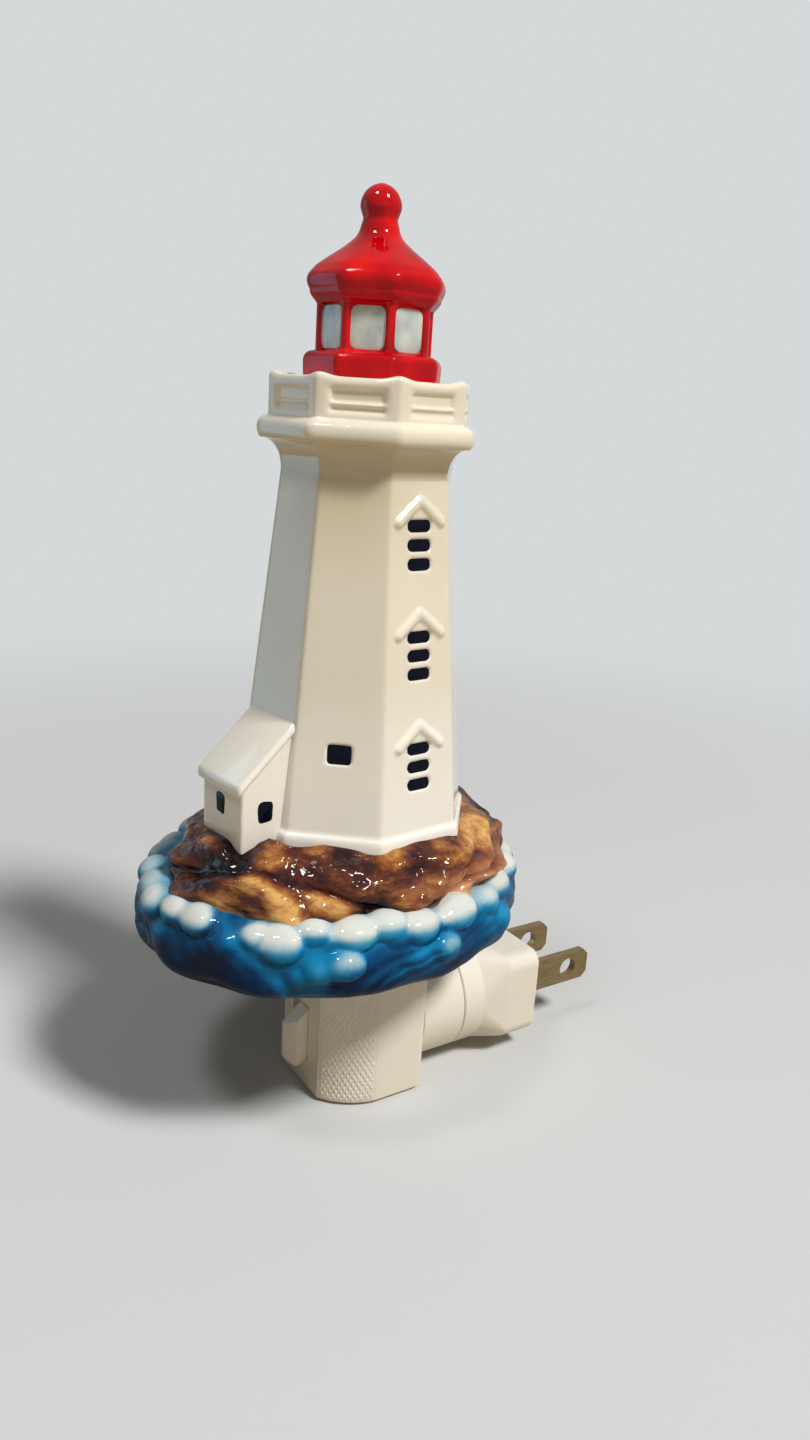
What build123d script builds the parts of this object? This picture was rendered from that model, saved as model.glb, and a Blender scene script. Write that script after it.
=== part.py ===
"""Plug-in night light: a glazed porcelain lighthouse that stands over a small bulb on a swivel-plug base.

Origin: the centre of the plug's wall face, on the plug's axis. +Y points into the wall, -Y into the
room and +Z up. Sizes are in millimetres. The base unit is modelled where it stands. The porcelain shade is
modelled upright on its own axis, with its underside at height 0, and is then set down on the base.
"""

import os
from math import atan2, cos, degrees, hypot, pi, radians, sin, sqrt

from build123d import *

os.makedirs("parts", exist_ok=True)

# ---------------------------------------------------------------------------------------------------------
# Driving dimensions
# ---------------------------------------------------------------------------------------------------------
# Fits and clearances
running_fit = 0.08  # radial, between pieces that turn or screw in one another
sliding_gap = 0.3  # between faces of different bodies that pass each other
wiping_gap = 0.1  # between an electrical wiper and its track
snug_fit = 0.05  # round pieces held still in a pocket

# Plug: two half shells round a pair of flat blades
plug_width = 23.7
plug_height = 17.3
plug_corner = 2.8
plug_straight = 7.5  # depth of the rectangular part behind the wall face
plug_taper = 5.3  # from the rectangle to the round collar
plug_edge = 1.1
collar_radius = 11.4
collar_length = 4.5
collar_lip = 0.35  # step between the collar and the swelling behind it
collar_edge = 0.4
plug_front_wall = 2.6  # wall round the swivel's neck
blade_pitch = 12.7
blade_width = 6.35
blade_thickness = 1.5
blade_reach = 17.0
blade_tip = 1.2  # chamfer at the tip's corners
blade_hole_radius = 2.0
blade_hole_reach = 11.75
blade_head_width = 9.0
blade_seat_depth = 6.0  # plastic between the wall face and the blade's head
contact_thickness = 0.5
track_inner_radius = 3.0
track_outer_radius = 4.6
hub_contact_radius = 1.7
contact_tab_width = 3.0

# Swivel: the housing's neck ends in a flanged spigot that the plug halves clasp
neck_length = 8.8
neck_wall = 1.8
neck_bulkhead = 2.0
spigot_radius = 7.0
spigot_bore_radius = 5.2
spigot_flange_radius = 9.0
spigot_flange_thickness = 1.4
washer_thickness = 0.5
track_standoff = 1.1  # from the spigot's end to the face of the contact track

# Housing: knurled front shell and smooth rear shell
housing_width = 24.6
housing_front_width = 13.0
housing_depth = 19.4
cheek_depth = 8.8  # of the curved front corners
cheek_bulge = 1.1
housing_base_height = -12.5
housing_corner = 2.0
housing_edge = 0.8
housing_wall = 1.7
flange_radius = 14.6
flange_thickness = 1.5
flange_height = 18.3  # top face, where the porcelain rests
collar_wall = 2.0
collar_height = 5.6  # of the socket collar above the flange

# Socket and bulb, candelabra size
cap_radius = 5.95
cap_length = 12.5
bulb_seat_height = 8.0  # lowest point of the bulb
bulb_tip_length = 3.1  # solder tip and black glass, below the cap
glass_length = 37.6
glass_radius = 11.0
glass_wall = 0.6
glass_lap = 3.0  # of the glass neck inside the cap
bulb_contact_radius = 1.9
stem_radius = 1.4
stem_top_height = 36.0
filament_span = 9.0
filament_rise = 6.0
filament_radius = 0.25
socket_shell_wall = 0.4
socket_sleeve_wall = 0.7
socket_rim_drop = 0.7  # from the bulb cap's rim to the shell's
socket_shell_lip = 1.5  # turned in below the cap, and the shell's depth below it
socket_floor = 1.6
socket_floor_height = 5.6

# Slide switch
slot_offset = -0.3
slot_bottom = -6.3
slot_top = 4.15
switch_travel = 2.4
knob_width = 3.1
knob_reach = 3.6  # out of the housing's front face
knob_top_drop = 3.2  # from the housing's face to the knob's nose
knob_bottom_drop = 2.3
knob_roundness = 1.5
thumb_ramp = 1.4
slider_plate_thickness = 1.2
slider_plate_margin = 0.1
slider_plate_lap = 0.9
bridge_width = 3.0
bridge_height = 6.6

# Brass strips
strip_thickness = 0.5
strip_width = 3.4
hot_strip_height = -5.0
contact_edge = 1.0  # X of the switch contacts' inner edge
contact_width = 2.4
live_contact_top = -2.9
contact_spacing = 1.5
rivet_radius = 1.4
rivet_head_radius = 2.4
lug_radius = 0.5
lug_offset = 5.2
lug_spread = 1.5  # of the neutral strip past the socket's axis
carrier_rim = 0.8
load_strip_height = 3.0
neutral_strip_offset = -4.3
wiper_offset = 3.8  # of the neutral wiper from the swivel's axis
wiper_radius = 0.7
hub_wiper_radius = 0.9
wiper_tail = 1.8  # behind the neck's bulkhead

# Shade clips
clip_width = 6.0
clip_thickness = 0.4
clip_clearance = 0.35  # of the leaf's corners inside the hole in the porcelain
clip_rise = 0.7  # of the bow above the porcelain's floor

# Screws
screw_radius = 1.1
screw_head_radius = 1.7
screw_head_height = 1.3
screw_head_sink = 0.4
screw_grip = 3.0  # into the second shell
screw_end_gap = 1.0
screw_offset = 9.2
screw_upper_height = 13.6
screw_lower_height = -9.6
boss_radius = 1.9
boss_depth = 3.6  # of the front shell's half
plug_screw_y = -3.6

# Porcelain shade, heights above its underside
shade_turn = 6.2  # degrees, as it sits on its clips
tower_offset = 1.8  # tower axis in front of the socket axis
seat_gap = 0.15
shade_hole_radius = 12.7
porcelain_wall = 3.0
tower_foot_height = 23.8
tower_foot_apothem = 18.4
neck_height = 79.4
neck_apothem = 13.0
ring_height = 85.2
ring_apothem = 16.6
ring_roundness = 1.5
octagon_edge = 1.4  # radius of the tower's upright edges
parapet_height = 93.1
parapet_apothem = 15.1
parapet_wall = 1.6
deck_drop = 1.0
skirt_height = 2.6
skirt_projection = 0.7
panel_length = 8.0
panel_rows = ((90.5, 1.9), (88.65, 0.9))  # height of the middle and size of a panel's two recesses
relief_depth = 0.5
lantern_sill_height = 96.8
lantern_sill_apothem = 10.3
sill_roundness = 1.0
lantern_apothem = 8.6
lantern_top_height = 103.9
lantern_window_width = 5.3
lantern_window_height = 6.3
cornice_height = 105.0
cornice_apothem = 9.5
eave_height = 106.9
eave_apothem = 10.3
eave_edge = 2.4  # radius of the roof's corners
cone_foot_height = 108.4
cone_foot_apothem = 9.8
cone_top_height = 112.1
cone_top_radius = 5.4
finial_waist_radius = 2.55
finial_waist_height = 116.5
ball_radius = 3.05
shade_height = 121.2
annex_width = 12.0
annex_reach = 25.7
annex_eave_height = 30.6
annex_ridge_height = 40.3
annex_roof_thickness = 1.8
annex_overhang = 0.7
annex_edge = 0.5
annex_window_height = 27.4
annex_window = (2.7, 3.5)
annex_side_window = 4.2  # from the front wall to its middle
tower_window_height = 36.9
tower_window = (4.3, 3.3)
window_rows = (34.6, 52.3, 69.3)  # heights of the middle bars of the louvred windows
bar_pitch = 2.9
bar_length = 4.6
bar_height = 2.0
pediment_span = 8.6
pediment_rise = 3.9
pediment_width = 0.9
wave_half_width = 30.2
wave_half_depth = 35.3
wave_centre = (-1.4, -2.1)
wave_belly_height = 6.9
wave_crest_height = 13.0
wave_foot_inset = 6.0
rock_half_width = 25.0
rock_half_depth = 30.8
rock_centre = (0.8, -1.0)
rock_top_height = 22.6
rock_crag = 1.1  # how far its ribs stand out
foam_rows = ((24, 11.0, 3.9, 3.5), (17, 7.2, 3.1, 3.9))  # count, height, inset of the centre, radius
swell_count = 13
swell_relief = 0.7
swell_lean = 0.3  # radians of a swell's phase to a millimetre of height
# Height and half-axes at levels of the hollow under the sea and the rock
mound_hollow = ((3.0, 24.2, 29.4), (6.9, 26.0, 31.0), (13.0, 20.4, 25.8), (18.0, 16.5, 22.0))
mound_hollow_centre = (-0.4, -1.5)

# ---------------------------------------------------------------------------------------------------------
# Places worked out from the dimensions
# ---------------------------------------------------------------------------------------------------------
collar_y = -plug_straight - plug_taper
plug_front_y = collar_y - collar_length
neck_end_y = plug_front_y - sliding_gap
housing_back_y = neck_end_y - neck_length
housing_front_y = housing_back_y - housing_depth
socket_y = housing_back_y - housing_depth / 2
tower_y = socket_y - tower_offset
spigot_end_y = plug_front_y + plug_front_wall + sliding_gap + washer_thickness + spigot_flange_thickness
track_y = spigot_end_y + track_standoff  # face of the contact track
track_back_y = track_y + contact_thickness
blade_head_y = -blade_seat_depth
chamber_y = plug_front_y + plug_front_wall
wiper_root_y = neck_end_y - neck_bulkhead - wiper_tail  # where the strips meet the wipers
front_inner_y = housing_front_y + housing_wall
plate_y = front_inner_y + sliding_gap  # front face of the slider's plate
bridge_y = plate_y + slider_plate_thickness
fixed_contact_y = bridge_y + contact_thickness + wiping_gap
flange_base = flange_height - flange_thickness
collar_top = flange_height + collar_height
cap_base = bulb_seat_height + bulb_tip_length
glass_base = cap_base + cap_length
socket_shell_radius = cap_radius + running_fit + socket_shell_wall
socket_sleeve_radius = socket_shell_radius + snug_fit + socket_sleeve_wall
collar_bore_radius = socket_sleeve_radius + snug_fit
socket_collar_radius = collar_bore_radius + collar_wall
slot_width = knob_width + switch_travel + 2 * sliding_gap
knob_x = slot_offset + switch_travel / 2  # the knob stands at the +X end of its slot
tower_lean = degrees(atan2(tower_foot_apothem - neck_apothem, neck_height - tower_foot_height))


def upright(y):
    """Plane across the plug's axis: x to the right, z up, extruding towards the room."""
    return Plane.XZ.offset(-y)


def level(z):
    """Horizontal plane at height z."""
    return Plane.XY.offset(z)


def side_on(x):
    """Vertical plane along the plug's axis: y towards the wall, z up."""
    return Plane.YZ.offset(x)


def save(piece, name):
    """Label a finished solid and write it."""
    piece.label = name
    export_step(piece, f"parts/{name}.step")


# ---------------------------------------------------------------------------------------------------------
# Porcelain lighthouse
# ---------------------------------------------------------------------------------------------------------
def octagon(apothem, height, edge=0.0):
    """Octagon with faces square to the axes and rounded corners, on a level plane."""
    with BuildSketch(level(height)) as outline:
        RegularPolygon(apothem, 8, major_radius=False, rotation=22.5)
        if edge:
            fillet(outline.vertices(), edge)
    return outline.sketch


def stack_octagons(*sections):
    """Straight-sided lofts between neighbouring (height, apothem, edge) sections."""
    for low, high in zip(sections, sections[1:]):
        for height, apothem, edge in (low, high):
            add(octagon(apothem, height, edge))
        loft(ruled=True)


def tower_apothem(height):
    """Half the width of the tapering tower at a height."""
    share = (height - tower_foot_height) / (neck_height - tower_foot_height)
    return tower_foot_apothem + share * (neck_apothem - tower_foot_apothem)


def face_plane(side, apothem, height, lean=0.0):
    """Plane on face `side` of an octagon (0 faces +X, counted anticlockwise): x along it, z outwards."""
    turn = radians(45 * side)
    tilt = radians(lean)
    out = (cos(turn) * cos(tilt), sin(turn) * cos(tilt), sin(tilt))
    return Plane(
        origin=(apothem * cos(turn), apothem * sin(turn), height),
        x_dir=(-sin(turn), cos(turn), 0),
        z_dir=out,
    )


def tower_face(side, height):
    """Plane on a sloping face of the tower."""
    return face_plane(side, tower_apothem(height), height, tower_lean)


def ellipse_at(height, half_width, half_depth, centre):
    """Ellipse on a level plane."""
    with BuildSketch(level(height)) as ring:
        with Locations(centre):
            Ellipse(half_width, half_depth)
    return ring.sketch


def crag(angle, layer):
    """How far the rock stands out at an angle: broad buttresses, and ribs that shift from ledge to ledge."""
    broad = 0.75 * sin(3 * angle + 0.9)
    ribs = 0.6 * sin(8 * angle + 1.7 * layer) + 0.4 * sin(13 * angle - 2.3 * layer)
    return rock_crag * (broad + ribs)


def rock_layer(height, inset, layer, corners=32):
    """One level of the rock: an ellipse broken into craggy straight edges."""
    with BuildSketch(level(height)) as outline:
        with BuildLine():
            points = []
            for k in range(corners):
                angle = 2 * pi * k / corners
                reach = crag(angle, layer) - inset
                points.append(
                    (
                        rock_centre[0] + (rock_half_width + reach) * cos(angle),
                        rock_centre[1] + (rock_half_depth + reach) * sin(angle),
                    )
                )
            Polyline(*points, close=True)
        make_face()
    return outline.sketch


def wave_layer(height, inset, points=52):
    """One level of the sea: an ellipse with swells that lean round it as they rise."""
    with BuildSketch(level(height)) as outline:
        with BuildLine():
            rim = []
            for k in range(points):
                angle = 2 * pi * k / points
                reach = swell_relief * sin(swell_count * angle + swell_lean * height) - inset
                rim.append(
                    (
                        wave_centre[0] + (wave_half_width + reach) * cos(angle),
                        wave_centre[1] + (wave_half_depth + reach) * sin(angle),
                    )
                )
            Spline(*rim, periodic=True)
        make_face()
    return outline.sketch


# Sea: a rounded, fluted ring
with BuildPart() as sea:
    belly = wave_belly_height
    crest = wave_crest_height
    wave_sections = (
        (0.0, wave_foot_inset),
        (0.3 * belly, 0.32 * wave_foot_inset),
        (belly, 0.0),
        (0.5 * (belly + crest), 0.15 * wave_foot_inset),
        (crest, 0.65 * wave_foot_inset),
    )
    for height, inset in wave_sections:
        add(wave_layer(height, inset))
    loft()

# Foam: two uneven rows of round knobs along the sea's crest
with BuildPart() as foam:
    for count, height, inset, radius in foam_rows:
        for k in range(count):
            angle = 2 * pi * (k + 0.28 * sin(3.1 * k) + 0.5) / count
            knob_place = (
                wave_centre[0] + (wave_half_width - inset) * cos(angle),
                wave_centre[1] + (wave_half_depth - inset) * sin(angle),
                height + 1.1 * sin(2.7 * k),
            )
            with Locations(knob_place):
                Sphere(radius * (1 + 0.17 * sin(5.3 * k)))

# Rock: ledges that step in towards the tower's foot
with BuildPart() as rock:
    rise = rock_top_height - wave_crest_height
    rock_sections = (
        (-4.0, 0.4),
        (0.0, 0.0),
        (0.32 * rise, 0.9),
        (0.62 * rise, 2.2),
        (0.86 * rise, 4.4),
        (rise, 8.6),
    )
    for layer, (height, inset) in enumerate(rock_sections):
        add(rock_layer(wave_crest_height + height, inset, layer))
    loft(ruled=True)

# Tower: tapering octagon on a low skirt, hollow-cheeked flare, rounded ring and parapet with a sunk deck
with BuildPart() as tower:
    skirt_foot = tower_foot_height - skirt_height
    tower_foot = skirt_foot - 2
    flare_steps = 6
    ring_steps = 6
    ring_foot = ring_height - ring_roundness
    ring_top = ring_height + ring_roundness
    flare_apothem = ring_apothem - ring_roundness / 3
    flare = [(tower_foot, tower_apothem(tower_foot), octagon_edge)]
    for k in range(flare_steps + 1):
        swing = 0.5 * pi * k / flare_steps
        height = neck_height + (ring_foot - neck_height) * sin(swing)
        spread = (flare_apothem - tower_apothem(ring_foot)) * (1 - cos(swing))
        flare.append((height, tower_apothem(height) + spread, octagon_edge))
    stack_octagons(*flare)
    ring = []
    for k in range(ring_steps + 1):
        swing = pi * k / ring_steps
        apothem = ring_apothem - ring_roundness * (1 - sin(swing)) + ring_roundness / 3
        ring.append((ring_height - ring_roundness * cos(swing), apothem, 2 * octagon_edge))
    stack_octagons(*ring)
    add(octagon(parapet_apothem, ring_top, octagon_edge))
    extrude(amount=parapet_height - ring_top)
    fillet(tower.faces().sort_by(Axis.Z)[-1].edges(), parapet_wall / 3)
    add(octagon(parapet_apothem - parapet_wall, parapet_height - deck_drop))
    extrude(amount=deck_drop, mode=Mode.SUBTRACT)
    add(octagon(tower_apothem(skirt_foot) + skirt_projection, skirt_foot, octagon_edge))
    extrude(amount=skirt_height)

# Lantern: faceted sill and drum with a recessed pane in each face, under a soft-cornered roof with a ball
with BuildPart() as lantern:
    deck_height = parapet_height - deck_drop
    add(octagon(lantern_sill_apothem, deck_height, octagon_edge / 2))
    extrude(amount=lantern_sill_height - deck_height)
    fillet(lantern.faces().sort_by(Axis.Z)[-1].edges(), sill_roundness)
    add(octagon(lantern_apothem, lantern_sill_height, octagon_edge / 2))
    extrude(amount=lantern_top_height - lantern_sill_height)
    pane_height = (lantern_sill_height + lantern_top_height) / 2
    with BuildSketch(*[face_plane(side, lantern_apothem, pane_height) for side in range(8)]):
        RectangleRounded(lantern_window_width, lantern_window_height, 0.5)
    extrude(amount=-relief_depth, mode=Mode.SUBTRACT)
    eave_half = (cone_foot_height - cornice_height) / 2
    eave_bulge = eave_apothem - (cornice_apothem + cone_foot_apothem) / 2
    stack_octagons(
        (lantern_top_height, cornice_apothem - 0.4, eave_edge / 2),
        (cornice_height, cornice_apothem, eave_edge / 2),
        (eave_height - 0.5 * eave_half, eave_apothem - 0.25 * eave_bulge, eave_edge),
        (eave_height, eave_apothem, eave_edge),
        (eave_height + 0.5 * eave_half, eave_apothem - 0.25 * eave_bulge, eave_edge),
        (cone_foot_height, cone_foot_apothem, eave_edge),
        (cone_top_height, cone_top_radius, 0.98 * cone_top_radius),
    )
    with BuildSketch(Plane.XZ):
        with BuildLine():
            cone_top = (cone_top_radius, cone_top_height)
            waist = (finial_waist_radius, finial_waist_height)
            hollow_of_cone = (
                0.45 * cone_top_radius + 0.5 * finial_waist_radius,
                0.6 * cone_top_height + 0.4 * finial_waist_height,
            )
            Polyline((0, finial_waist_height), (0, cone_top_height), cone_top)
            ThreePointArc(cone_top, hollow_of_cone, waist)
            Line(waist, (0, finial_waist_height))
        make_face()
    revolve(axis=Axis.Z)
    with Locations((0, 0, shade_height - ball_radius)):
        Sphere(ball_radius)

# Annex: a lean-to against the tower's front face
annex_back = 2 - tower_apothem(annex_ridge_height)
annex_foot = rock_top_height - 5
eave_y = -annex_reach - annex_overhang

with BuildPart() as annex_roof:
    with BuildSketch(side_on(0)):
        with BuildLine():
            Polyline(
                (annex_back, annex_ridge_height - annex_roof_thickness),
                (eave_y, annex_eave_height - annex_overhang),
                (eave_y, annex_eave_height - annex_overhang + annex_roof_thickness),
                (annex_back, annex_ridge_height),
                close=True,
            )
        make_face()
    extrude(amount=annex_width / 2 + annex_overhang, both=True)
    fillet(annex_roof.edges(), annex_edge)

with BuildPart() as annex:
    with BuildSketch(side_on(0)):
        with BuildLine():
            Polyline(
                (annex_back, annex_foot),
                (-annex_reach, annex_foot),
                (-annex_reach, annex_eave_height),
                (annex_back, annex_ridge_height - annex_roof_thickness / 2),
                close=True,
            )
        make_face()
    extrude(amount=annex_width / 2, both=True)
    fillet(annex.edges().filter_by(Axis.Z), annex_edge)
    add(annex_roof.part)
    with BuildSketch(face_plane(6, annex_reach, annex_window_height)):
        RectangleRounded(*annex_window, 0.6)
    extrude(amount=-relief_depth, mode=Mode.SUBTRACT)
    for side in (0, 4):
        wall_plane = face_plane(side, annex_width / 2, annex_window_height)
        wall_plane.origin += Vector(0, annex_side_window - annex_reach, 0)
        with BuildSketch(wall_plane):
            RectangleRounded(*annex_window, 0.6)
        extrude(amount=-relief_depth, mode=Mode.SUBTRACT)

# Hollow inside the porcelain: under the mound, up the tower, behind the ring and in the lantern
with BuildPart() as hollow:
    for low, high in zip(mound_hollow, mound_hollow[1:]):
        for height, half_width, half_depth in (low, high):
            add(ellipse_at(height, half_width, half_depth, mound_hollow_centre))
        loft()
    for height in (mound_hollow[-1][0] - 0.5, neck_height):
        add(octagon(tower_apothem(height) - porcelain_wall, height))
    loft(ruled=True)
    hollow_top = parapet_height - deck_drop - porcelain_wall
    add(octagon(neck_apothem - porcelain_wall, neck_height))
    extrude(amount=hollow_top - neck_height)
    with BuildSketch(level(hollow_top)):
        Circle(lantern_apothem - porcelain_wall)
    extrude(amount=cornice_height - hollow_top)

with BuildPart() as shade:
    add(sea.part)
    add(foam.part)
    add(rock.part)
    add(tower.part)
    add(annex.part)
    add(lantern.part)
    for side in (5, 7):
        with BuildSketch(tower_face(side, tower_window_height)):
            RectangleRounded(*tower_window, 0.6)
        extrude(amount=-relief_depth, mode=Mode.SUBTRACT)
    for row, panel_height in panel_rows:
        with BuildSketch(*[face_plane(side, parapet_apothem, row) for side in range(8)]):
            RectangleRounded(panel_length, panel_height, 0.4)
        extrude(amount=-relief_depth, mode=Mode.SUBTRACT)
    for side in (0, 4):
        for row in window_rows:
            with BuildSketch(tower_face(side, row)):
                with GridLocations(0, bar_pitch, 1, 3):
                    RectangleRounded(bar_length, bar_height, 0.9)
            extrude(amount=-relief_depth, mode=Mode.SUBTRACT)
            with BuildSketch(tower_face(side, row + bar_pitch)):
                with BuildLine():
                    Polyline((-pediment_span / 2, 0), (0, pediment_rise), (pediment_span / 2, 0))
                trace(line_width=pediment_width)
            extrude(amount=relief_depth)
    add(hollow.part, mode=Mode.SUBTRACT)
    with BuildSketch(level(0)):
        with Locations((0, tower_offset)):
            Circle(shade_hole_radius)
    extrude(amount=porcelain_wall + 0.5, mode=Mode.SUBTRACT)

shade_place = Location((0, socket_y, flange_height + seat_gap), (0, 0, shade_turn))
shade_place *= Location((0, -tower_offset, 0))
save(shade.part.moved(shade_place), "lighthouse_shade")


# ---------------------------------------------------------------------------------------------------------
# Housing: a front and a rear shell that meet at the socket's axis, with the neck on the rear one
# ---------------------------------------------------------------------------------------------------------
def housing_plan(height, inset=0.0):
    """Outline of the housing seen from above: flat front, curved cheeks, straight sides, rounded back."""
    half, front_half = housing_width / 2, housing_front_width / 2
    cheek_y = housing_front_y + cheek_depth
    chord = hypot(half - front_half, cheek_depth)
    bulge_x = (half + front_half) / 2 + cheek_bulge * cheek_depth / chord
    bulge_y = housing_front_y + cheek_depth / 2 - cheek_bulge * (half - front_half) / chord
    corner_mid = housing_corner * (1 - sqrt(0.5))
    with BuildSketch(level(height)) as plan:
        with BuildLine():
            Line((-front_half, housing_front_y), (front_half, housing_front_y))
            Line((housing_corner - half, housing_back_y), (half - housing_corner, housing_back_y))
            for side in (-1, 1):
                corner = (side * half, housing_back_y - housing_corner)
                ThreePointArc(
                    (side * front_half, housing_front_y),
                    (side * bulge_x, bulge_y),
                    (side * half, cheek_y),
                )
                Line((side * half, cheek_y), corner)
                ThreePointArc(
                    corner,
                    (side * (half - corner_mid), housing_back_y - corner_mid),
                    (side * (half - housing_corner), housing_back_y),
                )
        make_face()
        if inset:
            offset(amount=-inset, kind=Kind.INTERSECTION, mode=Mode.REPLACE)
    return plan.sketch


socket_section = Plane(origin=(0, socket_y, 0), x_dir=(1, 0, 0), z_dir=(0, -1, 0))  # x outwards, z up
socket_axis = Axis((0, socket_y, 0), (0, 0, 1))
screw_places = {
    "upper_left": (-screw_offset, screw_upper_height),
    "upper_right": (screw_offset, screw_upper_height),
    "lower_left": (-screw_offset, screw_lower_height),
    "lower_right": (screw_offset, screw_lower_height),
}

with BuildPart() as housing:
    add(housing_plan(housing_base_height, housing_edge))
    add(housing_plan(housing_base_height + housing_edge))
    loft(ruled=True)
    add(housing_plan(housing_base_height + housing_edge))
    extrude(amount=flange_base - housing_base_height - housing_edge)
    with BuildSketch(level(flange_base)):
        with Locations((0, socket_y)):
            Circle(flange_radius)
    extrude(amount=flange_thickness)
    with BuildSketch(level(flange_height)):
        with Locations((0, socket_y)):
            Circle(socket_collar_radius)
    extrude(amount=collar_height)
    with BuildSketch(upright(housing_back_y)):
        Circle(collar_radius)
    extrude(amount=-neck_length)
    # Room for the socket, switch and strips
    add(housing_plan(housing_base_height + housing_wall, housing_wall))
    extrude(amount=flange_base - housing_base_height - 2 * housing_wall, mode=Mode.SUBTRACT)
    with BuildSketch(upright(housing_back_y - 2 * housing_wall)):
        Circle(collar_radius - neck_wall)
    extrude(amount=-(neck_length + 2 * housing_wall - neck_bulkhead), mode=Mode.SUBTRACT)
    with BuildSketch(level(0)):
        with Locations((0, socket_y)):
            Circle(collar_bore_radius)
    extrude(amount=collar_top, mode=Mode.SUBTRACT)
    # Screw bosses run from front to back in the corners
    with BuildSketch(upright(housing_back_y - housing_wall / 2)):
        with Locations(*screw_places.values()):
            Circle(boss_radius)
    extrude(amount=housing_depth / 2 + boss_depth)
    with BuildSketch(upright(housing_back_y)):
        with Locations(*screw_places.values()):
            Circle(screw_radius + snug_fit)
    extrude(amount=housing_depth / 2 + screw_grip, mode=Mode.SUBTRACT)
    with BuildSketch(upright(housing_back_y)):
        with Locations(*screw_places.values()):
            Circle(screw_head_radius + snug_fit)
    extrude(amount=screw_head_height + screw_head_sink, mode=Mode.SUBTRACT)

with BuildPart() as front_shell:
    add(housing.part)
    split(bisect_by=socket_section, keep=Keep.TOP)
    with BuildSketch(upright(front_inner_y)):
        with Locations((slot_offset, (slot_bottom + slot_top) / 2)):
            Rectangle(slot_width, slot_top - slot_bottom)
    extrude(amount=2 * housing_wall, mode=Mode.SUBTRACT)
save(front_shell.part, "front_shell")

with BuildPart() as rear_shell:
    add(housing.part)
    split(bisect_by=socket_section, keep=Keep.BOTTOM)
    # Flanged spigot that the plug turns on
    with BuildSketch(upright(neck_end_y)):
        Circle(spigot_radius)
    extrude(amount=-(spigot_end_y - neck_end_y))
    with BuildSketch(upright(spigot_end_y)):
        Circle(spigot_flange_radius)
    extrude(amount=spigot_flange_thickness)
    with BuildSketch(upright(spigot_end_y)):
        Circle(spigot_bore_radius)
    extrude(amount=spigot_end_y - neck_end_y + neck_bulkhead, mode=Mode.SUBTRACT)
save(rear_shell.part, "rear_shell")

for place, (screw_x, screw_z) in screw_places.items():
    with BuildPart() as housing_screw:
        with BuildSketch(upright(housing_back_y - screw_head_sink)):
            with Locations((screw_x, screw_z)):
                Circle(screw_radius)
        extrude(amount=housing_depth / 2 - screw_head_sink + screw_grip - screw_end_gap)
        with BuildSketch(upright(housing_back_y - screw_head_sink)):
            with Locations((screw_x, screw_z)):
                Circle(screw_head_radius)
        extrude(amount=screw_head_height)
    save(housing_screw.part, f"housing_screw_{place}")

# ---------------------------------------------------------------------------------------------------------
# Plug: two halves that clasp the spigot's flange, the blades and the contact track
# ---------------------------------------------------------------------------------------------------------
with BuildPart() as plug:
    with BuildSketch(upright(0)):
        RectangleRounded(plug_width, plug_height, plug_corner)
    extrude(amount=plug_straight)
    with BuildSketch(upright(-plug_straight)):
        RectangleRounded(plug_width, plug_height, plug_corner)
    with BuildSketch(upright(collar_y)):
        swell_radius = collar_radius - collar_lip
        RectangleRounded(2 * swell_radius, 2 * swell_radius, 0.97 * swell_radius)
    loft(ruled=True)
    with BuildSketch(upright(collar_y)):
        Circle(collar_radius)
    extrude(amount=collar_length)
    fillet(plug.edges().group_by(Axis.Y)[0], collar_edge)
    fillet(plug.faces().sort_by(Axis.Y)[-1].edges(), plug_edge)
    # Chamber for the spigot's flange, open to the neck
    with BuildSketch(upright(chamber_y)):
        Circle(spigot_flange_radius + sliding_gap)
    extrude(amount=-(track_back_y - chamber_y), mode=Mode.SUBTRACT)
    with BuildSketch(upright(plug_front_y)):
        Circle(spigot_radius + running_fit)
    extrude(amount=-plug_front_wall, mode=Mode.SUBTRACT)
    # Pockets that hold the blades by their wide heads
    with BuildSketch(upright(0)):
        with GridLocations(blade_pitch, 0, 2, 1):
            Rectangle(blade_thickness + 2 * snug_fit, blade_width + 2 * snug_fit)
    extrude(amount=blade_seat_depth, mode=Mode.SUBTRACT)
    with BuildSketch(upright(blade_head_y)):
        with GridLocations(blade_pitch, 0, 2, 1):
            Rectangle(blade_thickness + 2 * snug_fit, blade_head_width + 2 * snug_fit)
    extrude(amount=blade_head_y - track_back_y, mode=Mode.SUBTRACT)
    # Screw from below, between the blades
    with BuildSketch(level(-plug_height / 2)):
        with Locations((0, plug_screw_y)):
            Circle(screw_head_radius + snug_fit)
    extrude(amount=screw_head_height + screw_head_sink, mode=Mode.SUBTRACT)
    with BuildSketch(level(-plug_height / 2)):
        with Locations((0, plug_screw_y)):
            Circle(screw_radius + snug_fit)
    extrude(amount=plug_height / 2 + screw_grip, mode=Mode.SUBTRACT)

with BuildPart() as plug_upper_half:
    add(plug.part)
    split(bisect_by=level(0), keep=Keep.TOP)
save(plug_upper_half.part, "plug_upper_half")

with BuildPart() as plug_lower_half:
    add(plug.part)
    split(bisect_by=level(0), keep=Keep.BOTTOM)
save(plug_lower_half.part, "plug_lower_half")

with BuildPart() as plug_screw:
    with BuildSketch(level(-plug_height / 2 + screw_head_sink)):
        with Locations((0, plug_screw_y)):
            Circle(screw_head_radius)
    extrude(amount=screw_head_height)
    with BuildSketch(level(-plug_height / 2 + screw_head_sink)):
        with Locations((0, plug_screw_y)):
            Circle(screw_radius)
    extrude(amount=plug_height / 2 - screw_head_sink + screw_grip - screw_end_gap)
save(plug_screw.part, "plug_screw")

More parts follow.
